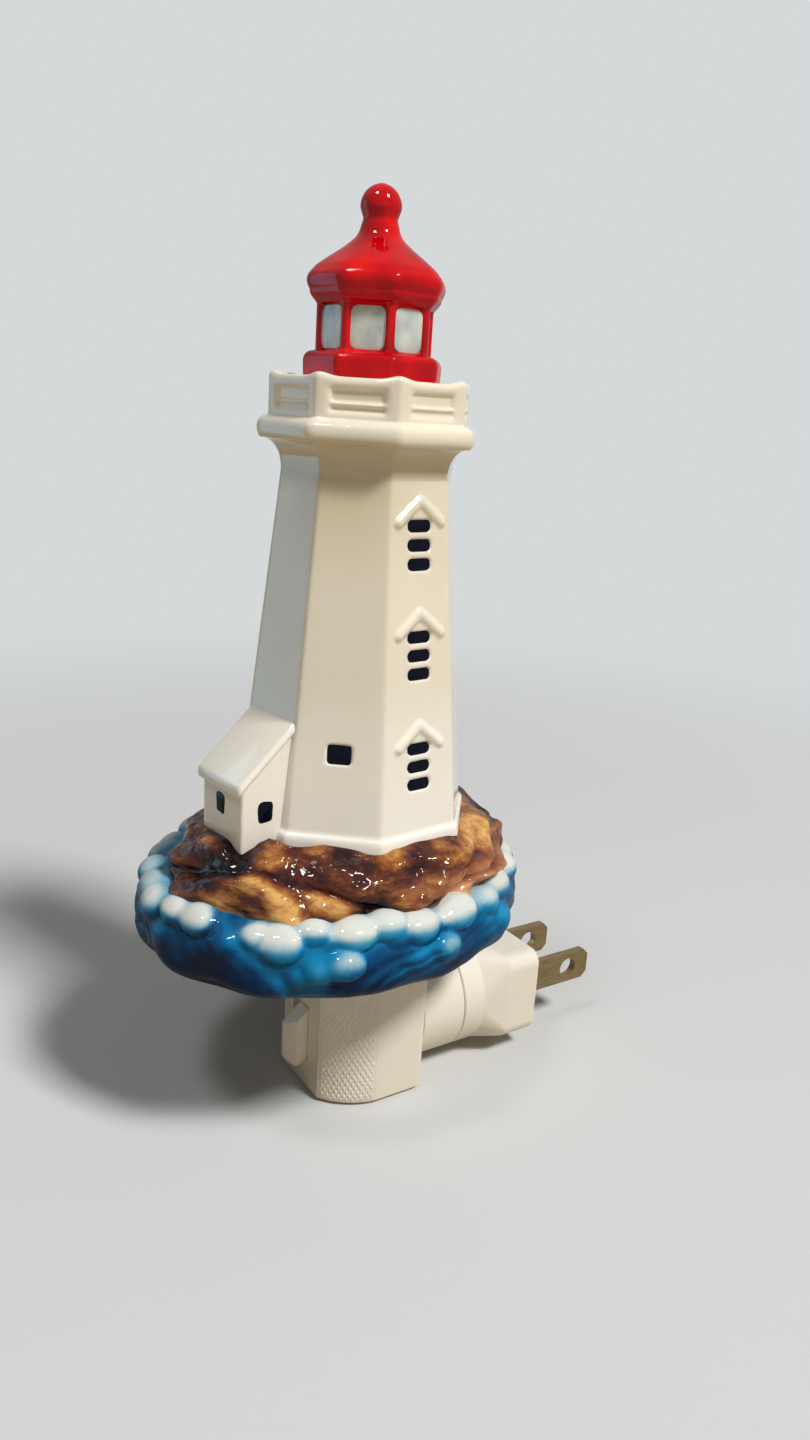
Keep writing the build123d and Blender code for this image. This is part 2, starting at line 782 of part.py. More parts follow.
with BuildPart() as swivel_washer:
    with BuildSketch(upright(chamber_y + sliding_gap / 2)):
        Circle(spigot_flange_radius - snug_fit)
        Circle(spigot_radius + running_fit, mode=Mode.SUBTRACT)
    extrude(amount=-washer_thickness)
save(swivel_washer.part, "swivel_washer")


def blade(x):
    """Flat blade with a chamfered, pierced tip and a wide head that the plug halves hold."""
    head_length = blade_head_y - track_back_y
    with BuildPart() as strip:
        with BuildSketch(side_on(x)) as outline:
            with Locations(((blade_reach - blade_seat_depth) / 2, 0)):
                Rectangle(blade_reach + blade_seat_depth, blade_width)
            chamfer(outline.vertices().group_by(Axis.X)[-1], blade_tip)
            with Locations((blade_head_y - head_length / 2, 0)):
                Rectangle(head_length, blade_head_width)
            with Locations((blade_hole_reach, 0)):
                Circle(blade_hole_radius, mode=Mode.SUBTRACT)
        extrude(amount=blade_thickness / 2, both=True)
    return strip.part


save(blade(-blade_pitch / 2), "blade_neutral")
save(blade(blade_pitch / 2), "blade_live")

tab_reach = (blade_pitch + blade_thickness) / 2  # contact tabs lie across the blades' inner ends

with BuildPart() as contact_track:
    with BuildSketch(upright(track_back_y)):
        Circle(track_outer_radius)
        Circle(track_inner_radius, mode=Mode.SUBTRACT)
        with Locations((track_outer_radius, 0)):
            Rectangle(2 * track_outer_radius, contact_tab_width + 4 * sliding_gap, mode=Mode.SUBTRACT)
        track_middle = (track_inner_radius + track_outer_radius) / 2
        with Locations((-(tab_reach + track_middle) / 2, 0)):
            Rectangle(tab_reach - track_middle, contact_tab_width)
    extrude(amount=contact_thickness)
save(contact_track.part, "plug_contact_track")

with BuildPart() as contact_hub:
    with BuildSketch(upright(track_back_y)):
        Circle(hub_contact_radius)
        with Locations((tab_reach / 2, 0)):
            Rectangle(tab_reach, contact_tab_width)
    extrude(amount=contact_thickness)
save(contact_hub.part, "plug_contact_hub")

# ---------------------------------------------------------------------------------------------------------
# Wiring inside the housing: wipers through the neck, and brass strips to the switch and the socket
# ---------------------------------------------------------------------------------------------------------
with BuildPart() as wiper_carrier:
    with BuildSketch(upright(spigot_end_y)):
        Circle(spigot_bore_radius - snug_fit)
    extrude(amount=spigot_end_y - neck_end_y + neck_bulkhead)
    with BuildSketch(upright(neck_end_y - neck_bulkhead)):
        Circle(spigot_bore_radius + carrier_rim)
    extrude(amount=carrier_rim)
    with BuildSketch(upright(spigot_end_y)):
        Circle(hub_wiper_radius + snug_fit)
        with Locations((-wiper_offset, 0)):
            Circle(wiper_radius + snug_fit)
    extrude(amount=spigot_end_y - wiper_root_y, mode=Mode.SUBTRACT)
save(wiper_carrier.part, "wiper_carrier")


def wiper(x, radius):
    """Round-nosed brass pin that rides on a contact of the plug."""
    with BuildPart() as pin:
        with BuildSketch(upright(wiper_root_y)):
            with Locations((x, 0)):
                Circle(radius)
        extrude(amount=-(track_y - wiping_gap - wiper_root_y))
        fillet(pin.faces().sort_by(Axis.Y)[-1].edges(), radius / 2)
    return pin.part


save(wiper(0, hub_wiper_radius), "wiper_live")
save(wiper(-wiper_offset, wiper_radius), "wiper_neutral")


def strip_legs(points):
    """Side view of a bent brass strip, as square-cornered legs between points (y, z)."""
    for (y1, z1), (y2, z2) in zip(points, points[1:]):
        with Locations(((y1 + y2) / 2, (z1 + z2) / 2)):
            Rectangle(abs(y2 - y1) + strip_thickness, abs(z2 - z1) + strip_thickness)


strip_root_y = wiper_root_y - strip_thickness / 2
strip_front_y = fixed_contact_y + strip_thickness / 2
neutral_strip_height = socket_floor_height - snug_fit - strip_thickness / 2

with BuildPart() as neutral_strip:
    with BuildSketch(side_on(neutral_strip_offset)):
        strip_legs(
            (
                (strip_root_y, -wiper_radius - strip_thickness),
                (strip_root_y, neutral_strip_height),
                (socket_y - lug_spread, neutral_strip_height),
            )
        )
    extrude(amount=strip_width / 2, both=True)
save(neutral_strip.part, "strip_neutral")

with BuildPart() as live_strip:
    with BuildSketch(side_on(contact_edge)):
        strip_legs(
            (
                (strip_root_y, hub_wiper_radius),
                (strip_root_y, hot_strip_height),
                (strip_front_y, hot_strip_height),
                (strip_front_y, live_contact_top),
            )
        )
    extrude(amount=contact_width)
    with BuildSketch(side_on(contact_edge)):
        strip_legs(
            (
                (strip_root_y, hub_wiper_radius),
                (strip_root_y, hot_strip_height),
                (socket_y, hot_strip_height),
            )
        )
    extrude(amount=-(contact_edge + hub_wiper_radius))
save(live_strip.part, "strip_live")

with BuildPart() as load_strip:
    with BuildSketch(side_on(contact_edge)):
        strip_legs(
            (
                (strip_front_y, live_contact_top + contact_spacing),
                (strip_front_y, load_strip_height),
                (socket_y + rivet_head_radius, load_strip_height),
            )
        )
    extrude(amount=contact_width)
    with BuildSketch(side_on(contact_edge)):
        strip_legs(
            (
                (socket_y - rivet_head_radius, load_strip_height),
                (socket_y + rivet_head_radius, load_strip_height),
            )
        )
    extrude(amount=-(contact_edge + rivet_radius))
save(load_strip.part, "strip_load")

# ---------------------------------------------------------------------------------------------------------
# Socket
# ---------------------------------------------------------------------------------------------------------
floor_top = socket_floor_height + socket_floor
shell_rim = glass_base - socket_rim_drop
shell_foot = cap_base - socket_shell_lip

with BuildPart() as socket_sleeve:
    with BuildSketch(level(socket_floor_height)):
        with Locations((0, socket_y)):
            Circle(socket_sleeve_radius)
    extrude(amount=glass_base - socket_floor_height)
    with BuildSketch(level(floor_top)):
        with Locations((0, socket_y)):
            Circle(socket_shell_radius + snug_fit)
    extrude(amount=glass_base - floor_top, mode=Mode.SUBTRACT)
    with BuildSketch(level(socket_floor_height)):
        with Locations((0, socket_y)):
            Circle(rivet_radius + snug_fit)
        with Locations((-lug_offset, socket_y)):
            Circle(lug_radius + snug_fit)
    extrude(amount=socket_floor, mode=Mode.SUBTRACT)
save(socket_sleeve.part, "socket_sleeve")

with BuildPart() as socket_shell:
    with BuildSketch(socket_section):
        with BuildLine():
            inner = socket_shell_radius - socket_shell_wall
            lip = inner - socket_shell_lip
            Polyline(
                (lip, shell_foot),
                (socket_shell_radius, shell_foot),
                (socket_shell_radius, shell_rim),
                (inner, shell_rim),
                (inner, shell_foot + socket_shell_wall),
                (lip, shell_foot + socket_shell_wall),
                close=True,
            )
        make_face()
    revolve(axis=socket_axis)
    with BuildSketch(level(neutral_strip_height + strip_thickness / 2)):
        with Locations((-lug_offset, socket_y)):
            Circle(lug_radius)
    extrude(amount=shell_foot - neutral_strip_height - strip_thickness / 2)
save(socket_shell.part, "socket_shell")

with BuildPart() as centre_contact:
    with BuildSketch(level(load_strip_height + strip_thickness / 2)):
        with Locations((0, socket_y)):
            Circle(rivet_radius)
    extrude(amount=floor_top - load_strip_height - strip_thickness / 2)
    with BuildSketch(level(floor_top)):
        with Locations((0, socket_y)):
            Circle(rivet_head_radius)
    extrude(amount=bulb_seat_height - wiping_gap - floor_top)
    fillet(centre_contact.faces().sort_by(Axis.Z)[-1].edges(), 0.3)
save(centre_contact.part, "centre_contact")


def shade_clip(side):
    """Spring-steel leaf that hooks over the socket collar and bows out under the porcelain's floor."""
    bow = sqrt((shade_hole_radius - clip_clearance) ** 2 - (clip_width / 2) ** 2) - clip_thickness / 2
    bow_height = flange_height + seat_gap + porcelain_wall + clip_rise
    hook_height = collar_top + clip_thickness / 2
    with BuildPart() as leaf:
        with BuildSketch(socket_section):
            with BuildLine():
                Polyline(
                    (side * (collar_bore_radius + clip_thickness), hook_height),
                    (side * (socket_collar_radius + clip_thickness), hook_height),
                    (side * bow, bow_height),
                    (side * (socket_collar_radius + clip_thickness), flange_height + clip_thickness),
                )
            trace(line_width=clip_thickness)
        extrude(amount=clip_width / 2, both=True)
    return leaf.part


save(shade_clip(-1), "shade_clip_left")
save(shade_clip(1), "shade_clip_right")

# ---------------------------------------------------------------------------------------------------------
# Switch: one moulded slider with a brass bridge on its back
# ---------------------------------------------------------------------------------------------------------
with BuildPart() as switch_slider:
    stem_top = slot_top - sliding_gap
    stem_bottom = slot_bottom + sliding_gap
    nose_y = housing_front_y - knob_reach
    with BuildSketch(side_on(knob_x)) as knob_side:
        with BuildLine():
            Polyline(
                (plate_y, stem_top),
                (housing_front_y, stem_top),
                (nose_y, stem_top - knob_top_drop),
                (nose_y, stem_bottom - knob_bottom_drop),
                (housing_front_y, stem_bottom),
                (plate_y, stem_bottom),
                close=True,
            )
        make_face()
        fillet(knob_side.vertices().group_by(Axis.X)[0].sort_by(Axis.Y)[0], knob_roundness)
    extrude(amount=knob_width / 2, both=True)
    ramp_start = Vector(knob_x - 0.3 * knob_width, nose_y, 0)
    split(bisect_by=Plane(origin=ramp_start, z_dir=(thumb_ramp, -0.8 * knob_width, 0)), keep=Keep.BOTTOM)
    with BuildSketch(upright(plate_y)):
        with Locations((knob_x, (slot_bottom + slot_top) / 2)):
            Rectangle(
                slot_width + switch_travel + 2 * slider_plate_margin,
                slot_top - slot_bottom + 2 * slider_plate_lap,
            )
    extrude(amount=-slider_plate_thickness)
save(switch_slider.part, "switch_slider")

with BuildPart() as switch_bridge:
    with BuildSketch(upright(bridge_y)):
        bridge_x = contact_edge + contact_width - bridge_width / 2 - snug_fit
        with Locations((bridge_x, live_contact_top + contact_spacing / 2)):
            Rectangle(bridge_width, bridge_height)
    extrude(amount=-contact_thickness)
save(switch_bridge.part, "switch_bridge")

# ---------------------------------------------------------------------------------------------------------
# Bulb
# ---------------------------------------------------------------------------------------------------------
cap_skin = 0.3
neck_of_glass = cap_radius - cap_skin - snug_fit
tip_height = 0.9

with BuildPart() as bulb_contact:
    with BuildSketch(level(bulb_seat_height)):
        with Locations((0, socket_y)):
            Circle(bulb_contact_radius)
    extrude(amount=tip_height)
    fillet(bulb_contact.faces().sort_by(Axis.Z)[0].edges(), tip_height / 2)
save(bulb_contact.part, "bulb_contact")

with BuildPart() as bulb_insulator:
    with BuildSketch(socket_section):
        with BuildLine():
            Polyline(
                (0, bulb_seat_height + tip_height),
                (bulb_contact_radius + 0.4, bulb_seat_height + tip_height),
                (neck_of_glass - 1.2, cap_base),
                (0, cap_base),
                close=True,
            )
        make_face()
    revolve(axis=socket_axis)
save(bulb_insulator.part, "bulb_insulator")

with BuildPart() as bulb_cap:
    with BuildSketch(socket_section):
        with BuildLine():
            Polyline(
                (0, cap_base),
                (cap_radius - 0.8, cap_base),
                (cap_radius, cap_base + 0.8),
                (cap_radius, glass_base),
                (cap_radius - cap_skin, glass_base),
                (cap_radius - cap_skin, cap_base + 0.9),
                (0, cap_base + 0.4),
                close=True,
            )
        make_face()
    revolve(axis=socket_axis)
save(bulb_cap.part, "bulb_cap")

with BuildPart() as bulb_glass:
    neck_foot = glass_base - glass_lap
    belly_height = glass_base + 0.44 * glass_length
    for wall, mode in ((0, Mode.ADD), (glass_wall, Mode.SUBTRACT)):
        glass_top = glass_base + glass_length - wall
        with BuildSketch(socket_section):
            with BuildLine():
                Line((0, neck_foot), (neck_of_glass - wall, neck_foot))
                Line((neck_of_glass - wall, neck_foot), (neck_of_glass - wall, glass_base))
                Spline(
                    (neck_of_glass - wall, glass_base),
                    (glass_radius - wall, belly_height),
                    (0, glass_top),
                    tangents=((0.25, 1), (0, 1), (-1, 0)),
                )
                Line((0, glass_top), (0, neck_foot))
            make_face()
        revolve(axis=socket_axis, mode=mode)
save(bulb_glass.part, "bulb_glass")

with BuildPart() as bulb_stem:
    with BuildSketch(socket_section):
        with BuildLine():
            stem_foot = glass_base - glass_lap
            flare_radius = neck_of_glass - glass_wall - snug_fit
            Line((0, stem_foot), (flare_radius, stem_foot))
            Line((flare_radius, stem_foot), (flare_radius, stem_foot + 0.6))
            ThreePointArc(
                (flare_radius, stem_foot + 0.6),
                (0.5 * flare_radius, stem_foot + 2.6),
                (stem_radius, stem_foot + 6),
            )
            Line((stem_radius, stem_foot + 6), (stem_radius, stem_top_height))
            Line((stem_radius, stem_top_height), (0, stem_top_height))
            Line((0, stem_top_height), (0, stem_foot))
        make_face()
    revolve(axis=socket_axis)
save(bulb_stem.part, "bulb_stem")

with BuildPart() as bulb_filament:
    with BuildLine(socket_section.moved(Location((0, stem_top_height, 0)))) as route:
        Polyline(
            (-0.6 * stem_radius, 0),
            (-0.6 * stem_radius, 1),
            (-filament_span / 2, filament_rise),
            (-filament_span / 5, filament_rise + 1.2),
            (0, filament_rise - 0.4),
            (filament_span / 5, filament_rise + 1.2),
            (filament_span / 2, filament_rise),
            (0.6 * stem_radius, 1),
            (0.6 * stem_radius, 0),
        )
    with BuildSketch(Plane(origin=route.line @ 0, z_dir=route.line % 0)):
        RegularPolygon(filament_radius, 6)
    sweep(transition=Transition.RIGHT)
save(bulb_filament.part, "bulb_filament")
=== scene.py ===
# %% [markdown]
# # A porcelain lighthouse night light
# The CAD model is loaded first, as a fixed frame: the moulded base, its swivel plug, the switch and the bulb
# come from it as they are, and get materials. The porcelain is a casting with soft, glazed detail that is
# easier to shape as surfaces worked out with numpy, so it is built here, piece by piece, in the CAD's place.

# %% Load the frame
import math

import bpy
import numpy as np
from mathutils import Matrix, Vector


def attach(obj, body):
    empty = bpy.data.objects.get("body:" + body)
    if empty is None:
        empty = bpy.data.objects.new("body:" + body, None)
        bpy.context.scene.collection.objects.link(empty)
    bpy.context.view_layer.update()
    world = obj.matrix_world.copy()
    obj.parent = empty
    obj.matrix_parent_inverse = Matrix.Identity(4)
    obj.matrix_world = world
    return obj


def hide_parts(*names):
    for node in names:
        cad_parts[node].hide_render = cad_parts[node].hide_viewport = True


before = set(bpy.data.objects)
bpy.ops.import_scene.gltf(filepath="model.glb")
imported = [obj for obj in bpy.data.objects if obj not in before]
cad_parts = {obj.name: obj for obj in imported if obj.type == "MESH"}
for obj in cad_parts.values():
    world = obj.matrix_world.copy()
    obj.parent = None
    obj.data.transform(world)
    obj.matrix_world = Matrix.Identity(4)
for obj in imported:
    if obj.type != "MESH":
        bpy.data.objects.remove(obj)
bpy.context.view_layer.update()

MM = 0.001
scene = bpy.context.scene
scene.view_settings.view_transform = "Standard"

# %% [markdown]
# ## The camera
# A camera is a point, a direction and a focal length. These came from fitting the plug's standard blades and
# the tower's straight edges, so the picture has the same perspective, with the small tilt of a hand-held shot.

# %% Camera
AZIMUTH, ELEVATION, ROLL = (math.radians(v) for v in (55.8, 16.2, 3.71))
CAMERA_PLACE, LENS_MM, SENSOR_MM = Vector((0.15131, -0.13029, 0.10819)), 27.05, 36.0
level = math.cos(ELEVATION)
back = Vector((math.sin(AZIMUTH) * level, -math.cos(AZIMUTH) * level, math.sin(ELEVATION)))
right = Vector((0, 0, 1)).cross(back).normalized()
up = back.cross(right)
cam_right = math.cos(ROLL) * right + math.sin(ROLL) * up
cam_up = -math.sin(ROLL) * right + math.cos(ROLL) * up
camera_data = bpy.data.cameras.new("camera")
camera_data.sensor_width, camera_data.lens = SENSOR_MM, LENS_MM
camera = bpy.data.objects.new("camera", camera_data)
scene.collection.objects.link(camera)
camera.matrix_world = Matrix.Translation(CAMERA_PLACE) @ Matrix((cam_right, cam_up, back)).transposed().to_4x4()
scene.camera = camera
print("camera looks along", [round(v, 3) for v in -back])

# %% [markdown]
# ## Working with surfaces
# Almost every piece here is a grid: a function of two parameters gives a point, and neighbours on the grid
# become faces. When the grid closes on itself both ways it is a ring, such as the sea. When it closes one way
# it is a tube, and its ends are capped. numpy works out all points at once.

# %% Helpers for meshes
def object_from(name, points, faces, body, smooth=True):
    """Make an object at the origin from points in millimetres and a list of faces, and ride it on a body."""
    mesh = bpy.data.meshes.new(name)
    mesh.from_pydata((np.asarray(points) * MM).tolist(), [], faces)
    mesh.validate()
    mesh.polygons.foreach_set("use_smooth", np.full(len(mesh.polygons), smooth))
    piece = bpy.data.objects.new(name, mesh)
    scene.collection.objects.link(piece)
    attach(piece, body)
    return piece


def grid_faces(rows, columns, close_rows=False):
    """Quads between neighbours of a rows x columns grid that wraps round in columns, and in rows if asked."""
    r, c = (a.ravel() for a in np.mgrid[:rows if close_rows else rows - 1, :columns])
    r1, c1 = (r + 1) % rows, (c + 1) % columns
    return np.stack([r * columns + c, r * columns + c1, r1 * columns + c1, r1 * columns + c], 1)


def closed_ring(name, grid, body):
    """A (rows, columns, 3) grid that wraps round both ways, as one piece."""
    return object_from(name, grid.reshape(-1, 3), grid_faces(*grid.shape[:2], close_rows=True).tolist(), body)


def tubes(name, grids, body, smooth=True):
    """Grids whose columns wrap round, as one piece: each end gets a middle point and a fan of triangles."""
    points, faces, start = [], [], 0
    for grid in grids:
        rows, columns = grid.shape[:2]
        ring = np.arange(columns)
        follow, last, middle = (ring + 1) % columns, (rows - 1) * columns, np.full(columns, rows * columns)
        faces += (grid_faces(rows, columns) + start).tolist()
        faces += (np.stack([follow, ring, middle], 1) + start).tolist()
        faces += (np.stack([ring + last, follow + last, middle + 1], 1) + start).tolist()
        points += [grid.reshape(-1, 3), grid[:1].mean(1), grid[-1:].mean(1)]
        start += rows * columns + 2
    return object_from(name, np.vstack(points), faces, body, smooth)


def paint(piece, name, values, rest=0.0):
    """Store one number per vertex, in the grid's order, for a material to read; vertices left over get `rest`."""
    data = np.full(len(piece.data.vertices), rest, np.float32)
    data[:np.size(values)] = np.ravel(values)
    piece.data.attributes.new(name, "FLOAT", "POINT").data.foreach_set("value", data)


def smoothstep(edge0, edge1, x):
    """0 below edge0, 1 above edge1, and 3t^2 - 2t^3 between."""
    t = np.clip((x - edge0) / (edge1 - edge0), 0, 1)
    return t * t * (3 - 2 * t)


def lerp_profile(profile, steps):
    """Resample a polyline profile: `steps` points to each of its runs, by straight interpolation."""
    profile = np.asarray(profile, float)
    parts = [a + (b - a) * np.linspace(0, 1, n, endpoint=False)[:, None]
             for a, b, n in zip(profile[:-1], profile[1:], steps)]
    return np.vstack(parts + [profile[-1:]])


def catmull(profile, steps):
    """Smooth curve through a profile's points: Catmull-Rom spline, `steps` points to each run."""
    p = np.asarray(profile, float)
    p = np.vstack([2 * p[0] - p[1], p, 2 * p[-1] - p[-2]])
    t = np.linspace(0, 1, steps, endpoint=False)[:, None]
    runs = []
    for a, b, c, d in zip(p[:-3], p[1:-2], p[2:-1], p[3:]):
        runs.append(0.5 * (2 * b + (c - a) * t + (2 * a - 5 * b + 4 * c - d) * t**2 + (3 * b - a - 3 * c + d) * t**3))
    return np.vstack(runs + [p[-2:-1]])


# %% [markdown]
# ## The shade's own frame
# The porcelain is worked out on the tower's axis, with heights above its underside, and each finished grid
# is then turned and moved to where the CAD has the shade.

# %% Placing the shade
# the socket's axis, the height of the shade's underside, how far the tower stands off the axis, and its turn
SOCKET_Y, SEAT, TOWER_OFFSET, TURN = -36.1, 18.45, 1.8, math.radians(6.2)


def seated(grid):
    """Move points from the shade's frame to the CAD's: shift, turn about the socket's axis, lift."""
    x, y, z = grid[..., 0], grid[..., 1] - TOWER_OFFSET, grid[..., 2]
    return np.stack([x * math.cos(TURN) - y * math.sin(TURN),
                     x * math.sin(TURN) + y * math.cos(TURN) + SOCKET_Y, z + SEAT], -1)


# %% [markdown]
# ## Nodes and colours
# Colours are written as sRGB hex, as a colour picker shows them, and one function turns them to the linear
# values that Blender mixes. One small function adds a node with its settings and its links.

# %% Helpers for materials
def linear(code):
    """sRGB hex to linear RGBA: c/12.92 below 0.04045, else ((c + 0.055)/1.055)^2.4."""
    c = np.array([int(code[i:i + 2], 16) / 255 for i in (1, 3, 5)])
    c = np.where(c <= 0.04045, c / 12.92, ((c + 0.055) / 1.055) ** 2.4)
    return (*c.tolist(), 1.0)


def add(tree, kind, inputs=None, **settings):
    """Add a node, set its settings, and set or link its inputs by name or number."""
    made = tree.nodes.new(kind)
    for key, value in settings.items():
        setattr(made, key, value)
    for key, value in (inputs or {}).items():
        if isinstance(value, bpy.types.NodeSocket):
            tree.links.new(value, made.inputs[key])
        else:
            made.inputs[key].default_value = value
    return made


def calc(tree, operation, *values):
    """The result of a Math node."""
    return add(tree, "ShaderNodeMath", dict(enumerate(values)), operation=operation).outputs[0]


def blend(tree, factor, first, second):
    """Mix two colours: the first where the factor is 0, the second where it is 1."""
    made = add(tree, "ShaderNodeMix", {"Factor": factor, "A": first, "B": second}, data_type="RGBA")
    return made.outputs["Result"]


def ramp(tree, factor, *stops):
    """Colour ramp through (position, hex) stops."""
    made = add(tree, "ShaderNodeValToRGB", {0: factor})
    elements = made.color_ramp.elements
    while len(elements) < len(stops):
        elements.new(0.5)
    for element, (position, code) in zip(elements, stops):
        element.position, element.color = position, linear(code)
    return made.outputs["Color"]


def new_material(name, **inputs):
    """A material with one Principled shader; inputs are named with _ for a space."""
    material = bpy.data.materials.new(name)
    material.use_nodes = True
    tree = material.node_tree
    for key, value in inputs.items():
        tree.nodes["Principled BSDF"].inputs[key.replace("_", " ")].default_value = value
    return material, tree


def into(tree, output, socket="Base Color"):
    """Link an output to an input of the Principled shader."""
    tree.links.new(output, tree.nodes["Principled BSDF"].inputs[socket])


def attribute(tree, name):
    """A number that the mesh stores for each vertex."""
    return add(tree, "ShaderNodeAttribute", attribute_name=name).outputs["Fac"]


def object_place(tree):
    """The point's place on the piece, in metres."""
    return add(tree, "ShaderNodeTexCoord").outputs["Object"]


def object_noise(tree, size_mm, detail=2.0, roughness=0.5):
    """Noise whose blobs are about size_mm across, in object coordinates."""
    return add(tree, "ShaderNodeTexNoise", {"Vector": object_place(tree), "Scale": 1000 / size_mm, "Detail": detail,
                                           "Roughness": roughness}).outputs["Fac"]


def bump(tree, height, depth_mm, strength=1.0, socket="Normal"):
    """Bump of a given depth from a 0 to 1 height, into one of the shader's normals."""
    made = add(tree, "ShaderNodeBump", {"Height": height, "Distance": depth_mm * MM, "Strength": strength})
    into(tree, made.outputs["Normal"], socket)


def finish(material, *things):
    """Give pieces or CAD nodes one material."""
    for thing in things:
        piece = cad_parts[thing] if isinstance(thing, str) else thing
        if piece.material_slots:
            for each in piece.material_slots:
                each.material = material
        else:
            piece.data.materials.append(material)


# %% [markdown]
# ## Porcelain and its painted glazes
# The body is slip-cast porcelain: a warm white clay under a clear glaze. A glaze is a thin layer of glass, so
# its IOR is about 1.5 and its gloss is sharp, but it pools and ripples a little, which a very shallow bump
# about 6 mm across gives. Colour is painted under the glaze, thicker in hollows and thinner on edges.
# The straw tint under the flare is painted shade.

# %% Glazed materials
def glaze(name, roughness=0.09, ripple_mm=7.0, ripple_depth=0.05, coat=1.0, **inputs):
    """Porcelain under a clear glaze: coat over a softer body, and the glaze's long shallow ripple."""
    material, tree = new_material(name, Roughness=0.4, Coat_Weight=coat, Coat_Roughness=roughness, Coat_IOR=1.45,
                                  Specular_IOR_Level=0.0, **inputs)
    bump(tree, object_noise(tree, ripple_mm, 1.0, 0.4), ripple_depth, 0.6, "Coat Normal")
    return material, tree


white_porcelain, tree = glaze("cream_glazed_porcelain", 0.07, 6.0, 0.09, Subsurface_Weight=0.12,
                              Subsurface_Radius=(0.004, 0.003, 0.002), Subsurface_Scale=1.0)
# whiter low down, on the house and the skirt, and creamier higher up the tower
height = add(tree, "ShaderNodeSeparateXYZ", {0: object_place(tree)}).outputs["Z"]
climb = add(tree, "ShaderNodeMapRange", {"Value": height, "From Min": 0.040, "From Max": 0.075}).outputs[0]
cloud = object_noise(tree, 22.0, 3.0)
creamy = calc(tree, "MULTIPLY_ADD", cloud, 0.5, climb)
tone = ramp(tree, creamy, (0.2, "#faf8f2"), (0.8, "#f5f0e3"), (1.0, "#efe8d6"))
# painted shade: where the pool attribute is high, under the flare and the ring, the colour goes to straw
into(tree, blend(tree, attribute(tree, "pool"), tone, linear("#cdb88c")))

red_glaze, tree = glaze("red_enamel_glaze", 0.05, coat=0.45)
depth = calc(tree, "ADD", object_noise(tree, 6.0, 2.0), attribute(tree, "thin"))
into(tree, ramp(tree, depth, (0.35, "#ac010c"), (0.6, "#d0020a"), (0.8, "#ea1005")))

navy_paint, tree = glaze("navy_painted_windows", 0.12, coat=0.3)
into(tree, ramp(tree, object_noise(tree, 1.2, 2.0), (0.35, "#010312"), (0.7, "#060a24")))

pane_glaze, tree = glaze("pale_blue_lantern_panes", 0.06)
into(tree, ramp(tree, object_noise(tree, 3.0, 2.0), (0.3, "#a9bdc1"), (0.55, "#cad7d4"), (0.8, "#e4ebe5")))

# %% [markdown]
# The sea is painted in three strokes: deep blue low down, mid blue over the swells and their strands, and
# white where foam stands out. The mesh stores each vertex's tone and foam, and the material mixes.

# %% Sea and rock materials
sea_glaze, tree = glaze("blue_and_foam_glaze", 0.045, 4.0, 0.06, coat=0.3)
strokes = object_noise(tree, 5.0, 4.0, 0.55)
grain = object_noise(tree, 0.55, 3.0, 0.6)
depth = calc(tree, "MULTIPLY_ADD", strokes, 0.3, attribute(tree, "tone"))
blue = ramp(tree, depth, (0.16, "#000d24"), (0.32, "#00244b"), (0.48, "#015286"), (0.64, "#0a7fb4"), (0.85, "#369fc6"))
# the white is sprayed, so its edge is a fine stipple
edge = attribute(tree, "foam")
for texture, share in ((strokes, 0.2), (grain, 0.16)):
    edge = calc(tree, "MULTIPLY_ADD", texture, share, edge)
cover = add(tree, "ShaderNodeMapRange", {"Value": edge, "From Min": 0.22, "From Max": 0.66},
            interpolation_type="SMOOTHSTEP").outputs[0]
pale = ramp(tree, edge, (0.28, "#3a94bd"), (0.5, "#79abc3"), (0.72, "#b2c9d0"), (0.94, "#d9dfdb"))
into(tree, blend(tree, cover, blue, pale))

rock_glaze, tree = glaze("brown_rock_glaze", 0.04, coat=0.5)
stretched = add(tree, "ShaderNodeMapping", {"Vector": object_place(tree), "Scale": (1, 1, 2.6)}).outputs[0]
brush = add(tree, "ShaderNodeTexNoise", {"Vector": stretched, "Scale": 1000 / 8.0, "Detail": 10.0,
                                         "Roughness": 0.72, "Distortion": 0.25}).outputs["Fac"]
vein = add(tree, "ShaderNodeMapRange", {"Value": brush, "From Min": 0.3, "From Max": 0.7, "To Min": -0.33,
                                        "To Max": 0.33}, clamp=False).outputs[0]
pool = calc(tree, "ADD", attribute(tree, "tone"), vein)
brown = ramp(tree, pool, (0.06, "#120a0c"), (0.28, "#34181a"), (0.48, "#5e3020"), (0.68, "#9a5f2e"),
             (0.95, "#e2ae68"))
pinkish = ramp(tree, pool, (0.1, "#241210"), (0.4, "#84503a"), (0.7, "#b97b55"), (0.95, "#d6a079"))
stone = blend(tree, attribute(tree, "pink"), brown, pinkish)
# the sea's white was sprayed last, and a little of it drifted on to the rock's foot
mist = calc(tree, "MULTIPLY", attribute(tree, "drift"), brush)
into(tree, blend(tree, mist, stone, linear("#dfe2da")))
bump(tree, brush, 0.5)
# in place of the ripple the glaze stands in beads about 2 mm across, each with its own small highlight
bump(tree, object_noise(tree, 1.9, 0.6, 0.4), 0.55, socket="Coat Normal")
